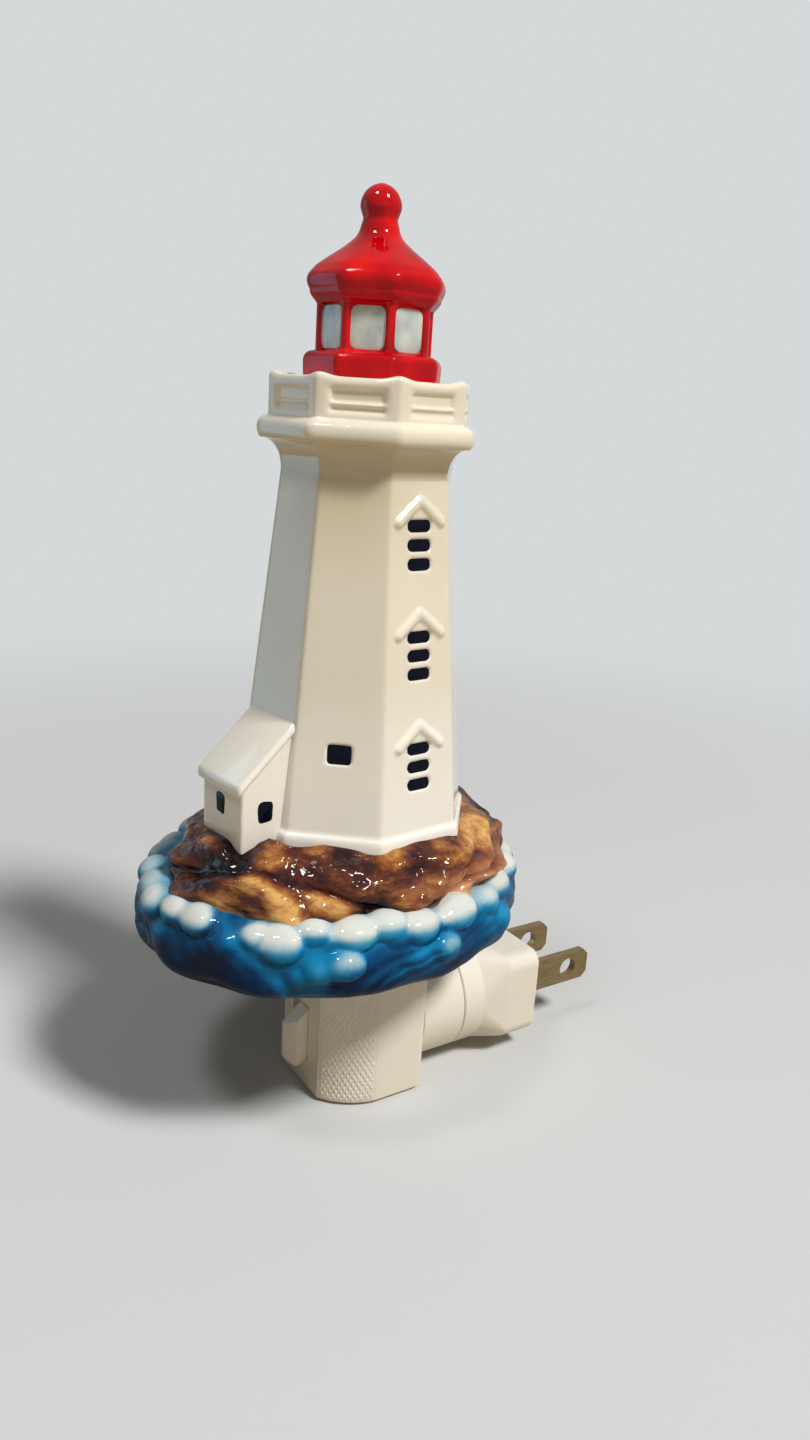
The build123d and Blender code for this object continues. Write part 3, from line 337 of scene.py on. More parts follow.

# %% [markdown]
# ## The sea
# An oval ring. Its section is a closed loop of heights and insets from the oval, so it has an underside with a
# hole, a swelling outside and a hollow inside, like the casting. Swells lean round it as a sine of the angle
# and the height. The foam is a list of puffs, given one by one round the front and by sines behind. Each puff is a
# head with a tail of three smaller lobes, all ellipsoids laid along the ring. Where the skin lies inside a lobe
# it is pushed out to the lobe's surface, and a smooth maximum melts them together: k log(1 + sum of exp(d/k))
# is close to the largest d, but has no crease. The white lies on the upper half of each lobe and is thin in the
# clefts between puffs, as if it was sprayed from above.

# %% Sea
# middle and half-sizes of the oval and how far its foot draws in; number, relief and lean of the swells
SEA_CENTRE, SEA_HALF, FOOT_INSET = np.array([-1.4, -2.1]), np.array([30.2, 35.3]), 6.0
SWELLS, SWELL_RELIEF, SWELL_LEAN = 13, 0.4, 0.3
HOLE_RADIUS, HOLE_INSET = 12.7, 15.5  # the inset marks the section's points that become the round hole
LOBE = np.array([1.14, 1.0, 0.86])  # a lobe's half-sizes along the ring, outwards and upwards, to its radius
BLEND, LIFT_CAP = 0.4, 3.2  # how softly lobes melt together, and the most that they may stand out
# share of the tail's length, drop, inset and size of a puff's head and its three tail lobes
TAIL = ((0, 0, 0, 1), (0.4, 0.5, 0.35, 0.82), (0.7, 1.2, 0.7, 0.64), (1, 2.1, 1.0, 0.46))
# angle in degrees, height, inset of the centre, radius, length of the tail and whiteness, round the front
PUFFS = [(-106, 11.0, 3.7, 3.4, 6, 0.35), (-97, 10.3, 3.4, 3.5, 6, 0.85), (-85, 11.3, 3.6, 2.8, 5, 0.9),
         (-74, 11.4, 3.7, 3.1, 8, 0.95), (-62, 9.6, 2.8, 2.6, 7, 0.12), (-53, 11.0, 3.5, 2.7, 6, 0.9),
         (-46, 10.4, 3.3, 3.6, 8, 0.9), (-37, 12.0, 4.2, 2.7, 8, 0.7), (-25, 11.7, 3.7, 3.3, 8, 0.95),
         (-28, 7.9, 1.6, 3.1, 10, 0.66), (-15, 12.2, 4.2, 3.1, 8, 0.62), (-5.5, 11.2, 3.6, 3.5, 9, 0.68),
         (2, 7.6, 2.1, 3.1, 12, 0.68), (9.5, 11.5, 3.7, 3.7, 7, 0.95), (24, 10.6, 3.5, 3.1, 6, 0.5),
         (29, 6.9, 2.7, 3.6, 9, 0.3), (35, 11.5, 3.8, 3.3, 6, 0.8), (50, 11.7, 3.8, 3.4, 7, 0.9)]


def oval(angle, height, inset, centre, half):
    """Point on an ellipse drawn in by `inset`: centre + (half - inset) * (cos a, sin a)."""
    return np.stack([centre[0] + (half[0] - inset) * np.cos(angle),
                     centre[1] + (half[1] - inset) * np.sin(angle), height + 0 * angle], -1)


def foam_lobes():
    """Angle, centre, radius and whiteness of each lobe; behind, sines of a puff's number set it unevenly."""
    k = np.arange(16)
    behind = np.stack([63 + 11.9 * k + 2.5 * np.sin(3.1 * k), 11.4 + 0.9 * np.sin(2.7 * k), 3.6 + 0 * k,
                       3.4 * (1 + 0.14 * np.sin(5.3 * k)), 6 + 1.5 * np.sin(4 * k), 0.7 + 0.3 * np.sin(7 * k)], 1)
    low = np.stack([62 + 23 * k[:8] + 4 * np.sin(2.3 * k[:8]), 7.6 + 0.7 * np.sin(3 * k[:8]), 3.3 + 0 * k[:8],
                    3.4 + 0.4 * np.sin(5 * k[:8]), 8 + 0 * k[:8], 0.4 + 0 * k[:8]], 1)
    angle, height, inset, radius, tail, white = np.vstack([PUFFS, behind, low]).T
    parts = []
    for share, drop, sink, shrink in TAIL:
        a = np.radians(angle) - share * tail / SEA_HALF.mean()
        parts.append((a, oval(a, height - drop * tail / 6, inset + sink, SEA_CENTRE, SEA_HALF), radius * shrink,
                      white * (1 - 0.45 * share)))
    return (np.concatenate(part) for part in zip(*parts))


def push_out(points, normals, angles, centres, radii):
    """Distance along the normal to leave each ellipsoid: (-b + sqrt(b^2 - a c)) / a in its scaled frame."""
    round_by = np.stack([np.cos(angles), np.sin(angles), 0 * angles], -1)
    along = np.stack([-np.sin(angles), np.cos(angles), 0 * angles], -1)
    up = np.broadcast_to([0.0, 0.0, 1.0], along.shape)
    axes = np.stack([along, round_by, up], 1) / (LOBE[:, None] * radii[:, None, None])
    offset = np.einsum("ijlk,lmk->ijlm", points[..., None, :] - centres, axes)
    way = np.einsum("ijk,lmk->ijlm", normals, axes)
    a, b, c = (way**2).sum(-1), (offset * way).sum(-1), (offset**2).sum(-1) - 1
    inside = b * b - a * c
    return (-b + np.sign(inside) * np.sqrt(np.abs(inside))) / a - 2.0 * (inside < 0)


def turned(angle, middle, width):
    """1 at an angle round the ring, falling to 0 as exp(-(d/width)^2) either side of it; degrees."""
    away = (np.degrees(angle) - middle + 180) % 360 - 180
    return np.exp(-((away / width) ** 2))


def profile_normals(profile):
    """Normals of a (height, inset) profile as (outwards, upwards): how height and inset change, to unit length."""
    slope = np.gradient(profile, axis=0)
    return slope / np.hypot(*slope.T)[:, None]


def facing_up(grid):
    """How far a grid looks up: z of the unit cross product of its two directions."""
    normal = np.cross(np.roll(grid, -1, 1) - np.roll(grid, 1, 1), np.gradient(grid, axis=0))
    return normal[..., 2] / np.linalg.norm(normal, axis=-1)


skin = catmull([(0.0, FOOT_INSET), (2.07, 1.92), (4.4, 0.45), (6.9, 0.0), (8.6, 0.2), (9.95, 0.9), (11.7, 2.1),
                (13.0, 3.9), (13.9, 7.5)], 14)
inside = lerp_profile([(13.9, 7.5), (12.5, 11.0), (7.0, 5.6), (3.0, 6.6), (3.0, HOLE_INSET), (0.0, HOLE_INSET),
                       (0.0, FOOT_INSET)], [4, 6, 4, 3, 2, 3])[1:-1]
section = np.vstack([skin, inside])
A, H = np.meshgrid(np.linspace(0, 2 * np.pi, 520, endpoint=False), section[:, 0])
count = len(skin)
around, rise = A[:count], H[:count]
swell = np.sin(SWELLS * A + SWELL_LEAN * H) + 0.3 * np.sin(19 * A + 2 * np.sin(3 * A) + 0.7 * H)
# strands of lighter blue hang from the foam: they run down to the right, or level off to the left
lean = 0.035 + 0.085 * np.cos(3 * A)
flow = A - lean * (H - 8.0)
strand = (0.5 + 0.5 * np.sin(17 * flow + 2.4 * np.sin(3 * flow) + 1.5 * np.sin(8 * flow))) ** 2
strand *= (0.35 + 0.65 * np.sin(2.5 * A + 0.9 + 0.1 * H) ** 2) * (1 - 0.65 * turned(A, 12, 26))
fine = 0.5 + 0.5 * np.sin(43 * flow + 2.5 * np.sin(5 * flow))
fade = smoothstep(0.2, 2.6, H) * smoothstep(14.0, 12.0, H)
relief = SWELL_RELIEF * swell + 0.14 * (strand - 0.3) - 0.6 * smoothstep(3.5, 6.5, H)
inset = section[:, 1:] + 0 * A
inset[:count] -= (relief * fade)[:count]
grid = oval(A, H, inset, SEA_CENTRE, SEA_HALF)
# the hole's edge is a true circle round the socket's axis
hole = np.stack([HOLE_RADIUS * np.cos(A), HOLE_RADIUS * np.sin(A) + TOWER_OFFSET, H], -1)
is_hole = np.isclose(section[:, 1], HOLE_INSET)
grid[is_hole] = hole[is_hole]
slope = profile_normals(skin)
normals = np.stack([np.cos(around) * slope[:, :1], np.sin(around) * slope[:, :1],
                    np.broadcast_to(slope[:, 1:], around.shape)], -1)
lobe_angle, centres, radii, white = foam_lobes()
depth = push_out(grid[:count], normals, lobe_angle, centres, radii)
near = np.exp(np.clip(depth, -9, 9) / BLEND)
lift = BLEND * np.log(1 + near.sum(-1))
lift = LIFT_CAP * np.tanh(lift / LIFT_CAP)
grid[:count] += normals * (lift * smoothstep(0.0, 2.4, rise))[..., None]
above = smoothstep(-0.45, 0.75, (grid[:count, :, 2:] - centres[:, 2]) / radii)
whiteness = (near * white * above).sum(-1) / near.sum(-1)
puff = near.reshape(*near.shape[:2], len(TAIL), -1).sum(2)
cleft = 0.7 + 0.3 * smoothstep(0.5, 0.9, puff.max(-1) / near.sum(-1))
sea = closed_ring("sea", seated(grid), "shade")
up = facing_up(grid[:count])
lobe = smoothstep(0.2, 1.7, lift) * whiteness
shelf = smoothstep(9.0, 12.2, rise) * (0.7 + 0.3 * np.cos(around + 0.15)) * (1 - 0.75 * turned(around, -64, 9))
paint(sea, "foam", 0.86 * lobe * cleft + 0.42 * shelf * smoothstep(0.1, 0.8, up) * (1 - 0.5 * lobe))
tone = 0.08 + 0.17 * smoothstep(1.0, 11.0, rise) + 0.24 * strand[:count] + 0.04 * fine[:count]
tone += 0.2 * smoothstep(0.2, 2.0, lift) + 0.1 * smoothstep(0, 0.8, up)
for middle, width, lighter in ((-40, 8, 0.14), (-66, 10, -0.14), (-7, 6, 0.06), (24, 9, 0.14)):
    tone += lighter * turned(around, middle, width)
paint(sea, "tone", tone)
finish(sea_glaze, sea)
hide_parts("lighthouse_shade")
print("sea:", len(sea.data.polygons), "faces, lift to", round(float(lift.max()), 2), "mm")

# %% [markdown]
# ## The rock
# The rock is another oval ring, between the sea and the tower. Broad buttresses and ribs shift from ledge to
# ledge. Fine craggy relief is added from ridged waves: the absolute value of a sine has a sharp valley, and
# waves of different directions and lengths cross to make ledges. A cleft wanders round the rock, which stands
# out a little below it. The same numbers set the tone, so that the brown glaze is darkest in hollows.

# %% Rock
def ridges(points, lengths, seed, count=4):
    """Sum of |sin(k.p + phase)| over random directions, longest waves strongest, scaled to about 0 to 1."""
    random = np.random.default_rng(seed)
    total, weight = 0, 0
    for length in lengths:
        k = random.normal(size=(count, 3)) * [1, 1, 1.6]
        k *= (2 * np.pi / length / 2) / np.linalg.norm(k, axis=1, keepdims=True)
        phase = random.uniform(0, np.pi, count)
        wave = np.abs(np.sin(points @ k.T + phase)).mean(-1)
        total, weight = total + wave * length, weight + length
    return (total / weight - 0.35) / 0.5


def crag(angle, layer):
    """How far the rock stands out: broad buttresses, and ribs that shift from ledge to ledge."""
    broad = 0.75 * np.sin(3 * angle + 0.9)
    return 1.1 * (broad + 0.6 * np.sin(8 * angle + 1.7 * layer) + 0.4 * np.sin(13 * angle - 2.3 * layer))


ROCK_CENTRE, ROCK_HALF = np.array([0.8, -1.0]), np.array([25.0, 30.8])
LEDGES = np.array([(9.0, 0.4), (13.0, 0.0), (16.07, 0.9), (18.95, 2.2), (21.26, 4.4), (22.6, 8.6)])
profile = catmull(LEDGES, 22)
inside = lerp_profile([(22.6, 8.6), (16.0, 9.5), (9.5, 6.0), (9.0, 0.4)], [3, 4, 3])[1:-1]
section = np.vstack([profile, inside])
A, H = np.meshgrid(np.linspace(0, 2 * np.pi, 460, endpoint=False), section[:, 0])
count = len(profile)
around, rise = A[:count], H[:count]
layer = np.interp(H, LEDGES[:, 0], np.arange(len(LEDGES)))
inset = section[:, 1:] + 0 * A
inset[:count] -= crag(A, layer)[:count]
# on the right the rock's foot draws in behind the foam
inset += 2.4 * turned(A, math.degrees(0.3), math.degrees(0.75)) * smoothstep(16.5, 13.5, H)
grid = oval(A, H, inset, ROCK_CENTRE, ROCK_HALF)
relief = ridges(grid[:count], (9.0, 4.5, 2.2), seed=5)
under = rise - (16.8 + 2.6 * np.sin(3 * around - 1.31) + 0.35 * np.sin(9 * around))  # height over the cleft
crack = np.exp(-((under / 0.6) ** 2)) * (0.45 + 0.55 * np.sin(3.5 * around + 3.2) ** 2)
push = 1.7 * (relief - 0.6) - 0.7 * crack + 0.7 * smoothstep(0, -1.5, under)
along = np.linspace(0, 1, count)[:, None]
push *= smoothstep(0, 0.12, along) * smoothstep(1, 0.88, along)
slope = profile_normals(profile)
grid[:count, :, 0] += np.cos(around) * slope[:, :1] * push
grid[:count, :, 1] += np.sin(around) * slope[:, :1] * push
grid[:count, :, 2] += slope[:, 1:] * push * 0.6
rock = closed_ring("rock", seated(grid), "shade")

ochre = 0.55 * turned(around, -54, 20) + 0.5 * turned(around, 100, 40) + 0.4 * turned(around, 170, 30)
tone = 0.24 + 0.42 * relief - 0.28 * crack + smoothstep(0.3, -0.9, under) * relief * ochre
tone += 0.3 * smoothstep(17.5, 19.5, rise) * (turned(around, 34, 18) + turned(around, 150, 25))
tone += 0.3 * smoothstep(19.0, 17.0, rise) * turned(around, 18, 22) - 0.12 * turned(around, 70, 22)
tone -= 0.28 * turned(around, -80, 9) * smoothstep(14.0, 16.5, rise) + 0.12 * turned(around, -104, 16)
pink = smoothstep(19.6, 17.8, rise) * (turned(around, 20, 22) + turned(around, -165, 28))
pink += 0.45 * turned(around, -100, 18) * (1 - relief)
drift = 0.8 * smoothstep(14.2, 12.4, rise) * (0.5 + 0.5 * np.sin(6 * around + 1.0))
paint(rock, "tone", np.clip(tone, 0, 1), rest=0.3)
paint(rock, "pink", np.clip(pink, 0, 1))
paint(rock, "drift", np.clip(drift, 0, 1))
finish(rock_glaze, rock)
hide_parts("lighthouse_shade")
print("rock:", len(rock.data.polygons), "faces")

# %% [markdown]
# ## The octagonal tower
# An octagon with rounded corners can be written as one formula. For each of eight faces take the cosine of
# the angle from that face, raise it to a high power p, add them up and take the p-th root: the result is 1 over
# a face and less at a corner. Dividing the apothem by it gives the radius. A higher p makes sharper corners.
# Relief on a face, such as the pediments, is then a push out of the face, set by a distance function.

# %% Octagon functions
FACES = np.arange(8) * np.pi / 4


def octagon_radius(angle, apothem, power):
    """apothem / (sum over faces of max(cos(a - face), 0)^p)^(1/p), scaled to be exact at a face's middle."""
    cosines = np.clip(np.cos(angle[..., None] - FACES), 1e-6, None)
    at_face = (np.clip(np.cos(FACES), 1e-6, None) ** power[..., None]).sum(-1)
    return apothem * (at_face / (cosines ** power[..., None]).sum(-1)) ** (1 / power)


def face_angles(samples):
    """Column angles: on each face, even steps along the flat, closer together at the corners."""
    out = []
    for face, count in enumerate(samples):
        t = np.linspace(-1, 1, count, endpoint=False) + 1 / count
        t = np.sign(t) * (1 - (1 - np.abs(t)) ** 1.25)
        out.append(FACES[face] + np.arctan(t * math.tan(math.pi / 8)))
    return np.concatenate(out)


def octagon_grid(profile, powers, angles, relief):
    """Carry a profile of (height, apothem) round an octagon, and push each face out by relief(face, x, z)."""
    A, H = np.meshgrid(angles, profile[:, 0])
    radius = octagon_radius(A, profile[:, 1:], powers[:, None])
    face = np.round(A / (np.pi / 4)).astype(int) % 8
    local = A - face * np.pi / 4
    local = (local + np.pi) % (2 * np.pi) - np.pi
    grid = np.stack([radius * np.cos(A), radius * np.sin(A), H], -1)
    out = relief(face, radius * np.sin(local), H)
    grid[..., 0] += out * np.cos(FACES[face])
    grid[..., 1] += out * np.sin(FACES[face])
    return grid


def rounded_box_distance(x, z, half_x, half_z, corner):
    """Distance outside (+) or inside (-) a rectangle with rounded corners."""
    qx, qz = np.abs(x) - half_x + corner, np.abs(z) - half_z + corner
    return np.hypot(np.maximum(qx, 0), np.maximum(qz, 0)) + np.minimum(np.maximum(qx, qz), 0) - corner


def segment_distance(x, z, ax, az, bx, bz):
    """Distance to the straight line between a and b."""
    px, pz, dx, dz = x - ax, z - az, bx - ax, bz - az
    t = np.clip((px * dx + pz * dz) / (dx * dx + dz * dz), 0, 1)
    return np.hypot(px - t * dx, pz - t * dz)


# %% Tower
FOOT, NECK = (23.8, 18.4), (79.4, 13.0)  # (height, apothem) at the skirt's top and under the flare
WINDOW_ROWS, BAR_PITCH, SMALL_WINDOW, SINK = (34.6, 52.3, 69.3), 2.9, 36.9, 0.4
LOUVRED, SINGLE_LIT = (0, 4), (5, 7)  # the faces with three louvred windows, and with one small window


def tower_apothem(height):
    """Straight taper between the foot and the neck."""
    return FOOT[1] + (height - FOOT[0]) / (NECK[0] - FOOT[0]) * (NECK[1] - FOOT[1])


def tower_relief(face, x, z):
    """Sunk louvres under raised pediments on two faces, and one sunk window on two others."""
    out = np.zeros_like(x)
    for row in WINDOW_ROWS:
        foot, top = row + BAR_PITCH + 0.5, row + BAR_PITCH + 3.8
        ridge = np.minimum(segment_distance(x, z, -4.2, foot, 0, top), segment_distance(x, z, 4.2, foot, 0, top))
        out += 0.55 * smoothstep(1.2, 0.15, ridge)
        for step in (-1, 0, 1):
            bar = rounded_box_distance(x, z - row - step * BAR_PITCH, 2.3, 0.98, 0.85)
            out -= SINK * smoothstep(0.14, -0.14, bar)
    small = rounded_box_distance(x, z - SMALL_WINDOW, 2.0, 1.6, 0.6)
    single = -SINK * smoothstep(0.16, -0.16, small)
    return np.where(np.isin(face, LOUVRED), out, np.where(np.isin(face, SINGLE_LIT), single, 0))


SKIRT_Z, WALL = 21.0, 3.0  # foot of the skirt's straight part, and the porcelain's thickness
lower = tower_apothem(23.6)
skirt = catmull([(SKIRT_Z - 2.5, lower + 0.5), (SKIRT_Z, lower + 0.75), (22.2, lower + 0.75), (23.3, lower + 0.55),
                 (23.9, lower + 0.08)], 5)
shaft_z = np.linspace(24.3, NECK[0] + 1.5, 236)
shaft = np.stack([shaft_z, tower_apothem(shaft_z)], 1)
wall_in = lerp_profile([(NECK[0] + 1.5, NECK[1] - WALL), (SKIRT_Z - 2.5, lower - WALL)], [6])
section = np.vstack([skirt, shaft, wall_in])
columns = face_angles([58, 14, 12, 14, 58, 56, 14, 56])
powers = np.full(len(section), 100.0)
tower = closed_ring("tower", seated(octagon_grid(section, powers, columns, tower_relief)), "shade")
# painted shade under the flare: a straw tint where the gallery's shadow falls, strongest on the front corner
around, rise = np.meshgrid(columns, section[:, 0])
paint(tower, "pool", 0.5 * smoothstep(60.0, 78.0, rise) * turned(around, -55, 50))
finish(white_porcelain, tower)
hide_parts("lighthouse_shade")
print("tower:", len(tower.data.polygons), "faces")

# %% [markdown]
# ## The gallery
# Above the neck the octagon flares out in a hollow curve to a rounded ring, and a parapet stands on it with a
# sunk panel on each face: a tall recess over a thin one, with a bar between. Its rim rises at the corners.

# %% Gallery
FLARE_Z, RING_Z, PARAPET_A = NECK[0] - 1.2, 83.7, 15.1  # foot of the flare, foot of the ring, parapet's apothem


def gallery_relief(face, x, z):
    """Two rounded recesses to a face, under a rim."""
    upper = rounded_box_distance(x, z - 90.5, 4.0, 0.95, 0.55)
    low = rounded_box_distance(x, z - 88.65, 4.0, 0.42, 0.35)
    frame_line = rounded_box_distance(x, z - 89.85, 4.6, 2.0, 0.8)
    out = -0.5 * smoothstep(0.28, -0.28, upper) - 0.38 * smoothstep(0.25, -0.2, low)
    return (out - 0.12 * smoothstep(0.3, -0.3, frame_line)) * smoothstep(87.4, 87.9, z)


swing = np.linspace(0, np.pi / 2, 18)
flare_z = FLARE_Z + (RING_Z - FLARE_Z) * np.sin(swing)
flare = np.stack([flare_z, tower_apothem(flare_z) - 0.03 + (16.1 - tower_apothem(RING_Z)) * (1 - np.cos(swing))], 1)
ring = catmull([(83.75, 16.35), (84.5, 16.75), (85.4, 16.85), (86.3, 16.6), (86.9, 15.9), (87.1, 15.3)], 4)
wall_out = np.stack([np.linspace(87.3, 92.2, 26), np.full(26, PARAPET_A)], 1)
rim = catmull([(92.5, PARAPET_A - 0.03), (92.95, PARAPET_A - 0.3), (93.1, PARAPET_A - 0.8), (92.95, 13.8),
               (92.5, 13.5)], 4)
deck = lerp_profile([(92.1, 13.45), (92.0, 9.5), (84.0, 9.4), (FLARE_Z, 10.0)], [3, 3, 3])
section = np.vstack([flare, ring, wall_out, rim, deck])
powers = np.interp(section[:, 0], [NECK[0], 83.0, 84.5, 86.5, 87.3], [100, 80, 46, 46, 90])
columns = face_angles([44] * 8)
grid = octagon_grid(section, powers, columns, gallery_relief)
# the rim rises by half a millimetre at the corners
corner = (columns / (np.pi / 4) + 0.5) % 1
corner = np.minimum(corner, 1 - corner) * (np.pi / 4) * PARAPET_A
weights = np.concatenate([np.zeros(len(flare) + len(ring)), np.linspace(0, 1, len(wall_out)) ** 4,
                          np.ones(len(rim)), np.zeros(len(deck))])
grid[..., 2] += weights[:, None] * 0.55 * np.exp(-((corner / 1.7) ** 2))
gallery = closed_ring("gallery", seated(grid), "shade")
# painted shade on the flare under the ring: the same straw tint
rise = np.repeat(section[:, 0], len(columns))
paint(gallery, "pool", 0.6 * smoothstep(76.5, 80.5, rise) * smoothstep(85.0, 83.6, rise))
finish(white_porcelain, gallery)
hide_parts("lighthouse_shade")
print("gallery:", len(gallery.data.polygons), "faces")

# %% [markdown]
# ## The lantern
# The red lantern is the same kind of surface: a sill, a drum with a sunk pane on each face, a cornice and a
# roof whose eight facets soften towards the ball finial, because the power falls as the profile climbs.

# %% Lantern
PANE_Z, PANE_SINK, DRUM_A = 100.3, 0.55, 8.65  # middle and depth of the panes, apothem of the drum
# how sharp the octagon's corners are: height and power
SHARPNESS = np.array([(91, 60), (96.9, 50), (97.1, 60), (103.9, 60), (105.5, 34), (108, 22), (110.5, 10), (112, 5),
                      (114, 2.5)])


def lantern_relief(face, x, z):
    """A sunk pane on each face of the drum."""
    pane = rounded_box_distance(x, z - PANE_Z, 2.75, 3.25, 0.5)
    return -PANE_SINK * smoothstep(0.22, -0.22, pane)


sill = catmull([(91.0, 10.25), (93.0, 10.3), (95.2, 10.4), (96.1, 10.25), (96.7, 9.7), (96.95, 8.9)], 5)
drum = np.stack([np.linspace(97.05, 103.6, 34), np.full(34, DRUM_A)], 1)
roof = catmull([(103.9, 8.8), (104.5, 9.35), (105.1, 9.75), (105.6, 9.85), (105.95, 10.05), (106.6, 10.3),
                (107.3, 10.32), (107.9, 10.1), (108.5, 9.65), (109.3, 8.95), (110.7, 7.2), (112.05, 5.35),
                (113.3, 3.85), (114.2, 3.2), (115.3, 2.85), (116.2, 2.62), (116.9, 2.85), (117.8, 3.12),
                (118.8, 3.0), (119.9, 2.45), (120.7, 1.55), (121.15, 0.5)], 5)
section = np.vstack([sill, drum, roof, [(121.17, 0.05)]])
columns = face_angles([34] * 8)
grid = octagon_grid(section, np.interp(section[:, 0], *SHARPNESS.T), columns, lantern_relief)
lantern = tubes("lantern", [seated(grid)], "shade")
rise = np.repeat(section[:, 0], len(columns))
thin = 0.12 * smoothstep(96.0, 92.0, rise) + 0.15 * smoothstep(106.5, 108.5, rise) * smoothstep(112, 109, rise)
paint(lantern, "thin", thin)
finish(red_glaze, lantern)
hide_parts("lighthouse_shade")
print("lantern:", len(lantern.data.polygons), "faces")

# %% [markdown]
# ## Painted windows
# Brush strokes of thick dark glaze stand a hair above the wall. Each is a small closed cushion: a rounded
# rectangle drawn as rings from rim to middle, laid on its face and slightly uneven, as hand painting is.

# %% Windows and panes
def stroke(centre, across, upward, outward, half_x, half_z, corner, rise, wobble, seed, rings=6, around=40):
    """A closed cushion: rings of a rounded rectangle, thickness rise * sqrt(1 - r^2), flat back 0.3 below."""
    random = np.random.default_rng(seed)
    a = np.linspace(0, 2 * np.pi, around, endpoint=False)
    power = 2 + 3.2 * (1 - corner)
    edge = (np.abs(np.cos(a)) ** power + np.abs(np.sin(a)) ** power) ** (-1 / power)
    uneven = 1 + wobble * sum(random.normal() * np.sin(k * a + random.uniform(0, 6.3)) for k in (2, 3, 5)) / 2
    r = np.sin(np.linspace(0.5 * np.pi, 0.02, rings))
    x = np.outer(r, half_x * edge * np.cos(a) * uneven)
    z = np.outer(r, half_z * edge * np.sin(a) * uneven)
    h = np.broadcast_to(rise * np.sqrt(1 - r**2)[:, None], x.shape)
    x, z = np.vstack([0.9 * x[:1], x]), np.vstack([0.9 * z[:1], z])
    h = np.vstack([np.full((1, around), -0.3), h])
    return centre + x[..., None] * across + z[..., None] * upward + h[..., None] * outward


def on_face(face, height, apothem, lean=0.0):
    """Middle point, across, upward and outward directions at a height on an octagon's face."""
    a = FACES[face]
    out = np.array([math.cos(a) * math.cos(lean), math.sin(a) * math.cos(lean), math.sin(lean)])
    side = np.array([-math.sin(a), math.cos(a), 0.0])
    return np.array([apothem * math.cos(a), apothem * math.sin(a), height]), side, np.cross(out, side), out


LEAN = math.atan2(FOOT[1] - NECK[1], NECK[0] - FOOT[0])
BED = 0.3  # depth of a stroke's middle plane under the tower's wall
HOUSE_Y, HOUSE_HALF = -25.7, 6.0  # the lean-to's front wall and half its width
# half width, half height, roundness of the corners, rise and unevenness of each kind of stroke
BAR, SINGLE = (2.55, 1.2, 0.45, 0.12, 0.02), (2.2, 1.85, 0.3, 0.12, 0.02)
HOUSE_FRONT, HOUSE_SIDE = (1.3, 1.7, 0.2, 0.13, 0.05), (1.4, 1.75, 0.35, 0.13, 0.05)
PANE = (2.72, 3.2, 0.05, 0.16, 0.012)

marks, seed = [], 40
for face in LOUVRED:
    for row in WINDOW_ROWS:
        for step in (-1, 0, 1):
            height = row + step * BAR_PITCH
            marks.append(stroke(*on_face(face, height, tower_apothem(height) - BED, LEAN), *BAR, seed))
            seed += 1
for face in SINGLE_LIT:
    marks.append(stroke(*on_face(face, SMALL_WINDOW, tower_apothem(SMALL_WINDOW) - BED, LEAN), *SINGLE, seed))
    seed += 1
x_way, y_way, z_way = np.eye(3)
marks.append(stroke(np.array([-0.4, HOUSE_Y, 27.6]), x_way, z_way, -y_way, *HOUSE_FRONT, seed))
for side in (-1, 1):
    centre = np.array([side * HOUSE_HALF, -21.4, 27.2])
    marks.append(stroke(centre, side * y_way, z_way, side * x_way, *HOUSE_SIDE, seed + 5 + side))
windows = tubes("painted_windows", [seated(mark) for mark in marks], "shade")
finish(navy_paint, windows)
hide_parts("lighthouse_shade")

panes = [stroke(*on_face(face, PANE_Z, DRUM_A - 0.5), *PANE, 90 + face) for face in range(8)]
lantern_panes = tubes("lantern_panes", [seated(pane) for pane in panes], "shade")
finish(pane_glaze, lantern_panes)
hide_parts("lighthouse_shade")
print("windows:", len(marks), "strokes,", len(panes), "panes")

# %% [markdown]
# ## The lean-to
# A small house against the tower's front. Its side view is carried across from one side to the other, and a
# bevel rounds the edges as the clay and glaze do. The roof is a slab with a small overhang.

# %% Lean-to
def prism(name, outline, half_width, bevel):
    """Carry a side view of (y, z) points from -half_width to half_width in x; bevel its edges."""
    outline = np.asarray(outline, float)
    count = len(outline)
    points = np.concatenate([np.column_stack([np.full(count, x), outline]) for x in (-half_width, half_width)])
    ring = np.arange(count)
    follow = (ring + 1) % count
    faces = np.stack([ring, follow, follow + count, ring + count], 1).tolist()
    faces += [ring[::-1].tolist(), (ring + count).tolist()]
    piece = object_from(name, seated(points), faces, "shade")
    bevelled = piece.modifiers.new("soft_edges", "BEVEL")
    bevelled.width, bevelled.segments, bevelled.limit_method = bevel * MM, 4, "ANGLE"
    return piece


house = prism("lean_to_walls", [(-14.0, 20.5), (HOUSE_Y, 20.5), (HOUSE_Y, 31.4), (-14.0, 42.0)], HOUSE_HALF, 0.5)
roof_slab = prism("lean_to_roof", [(-14.5, 41.2), (-26.6, 30.2), (-26.6, 32.1), (-14.5, 43.2)], 6.6, 0.7)
for piece in (house, roof_slab):
    finish(white_porcelain, piece)
    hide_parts("lighthouse_shade")

# %% [markdown]
# ## Moulded base
# The base is urea plastic, moulded in polished tools: ivory, IOR about 1.5, with a soft gloss. The front
# shell's cheeks carry a fine diamond knurl, cut into the mould for grip. Its points are modelled: a grid over
# the cheek whose height is the smaller of two slanted triangle waves.

# %% Base materials
def mottled(name, size_mm, detail, dark, light, **inputs):
    """A material whose colour drifts between two hexes in blobs about size_mm across."""
    material, tree = new_material(name, **inputs)
    into(tree, ramp(tree, object_noise(tree, size_mm, detail), (0.3, dark), (0.7, light)))
    return material


def nodes_called(*starts):
    """The CAD nodes whose names start with one of these."""
    return [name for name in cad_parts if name.startswith(starts)]


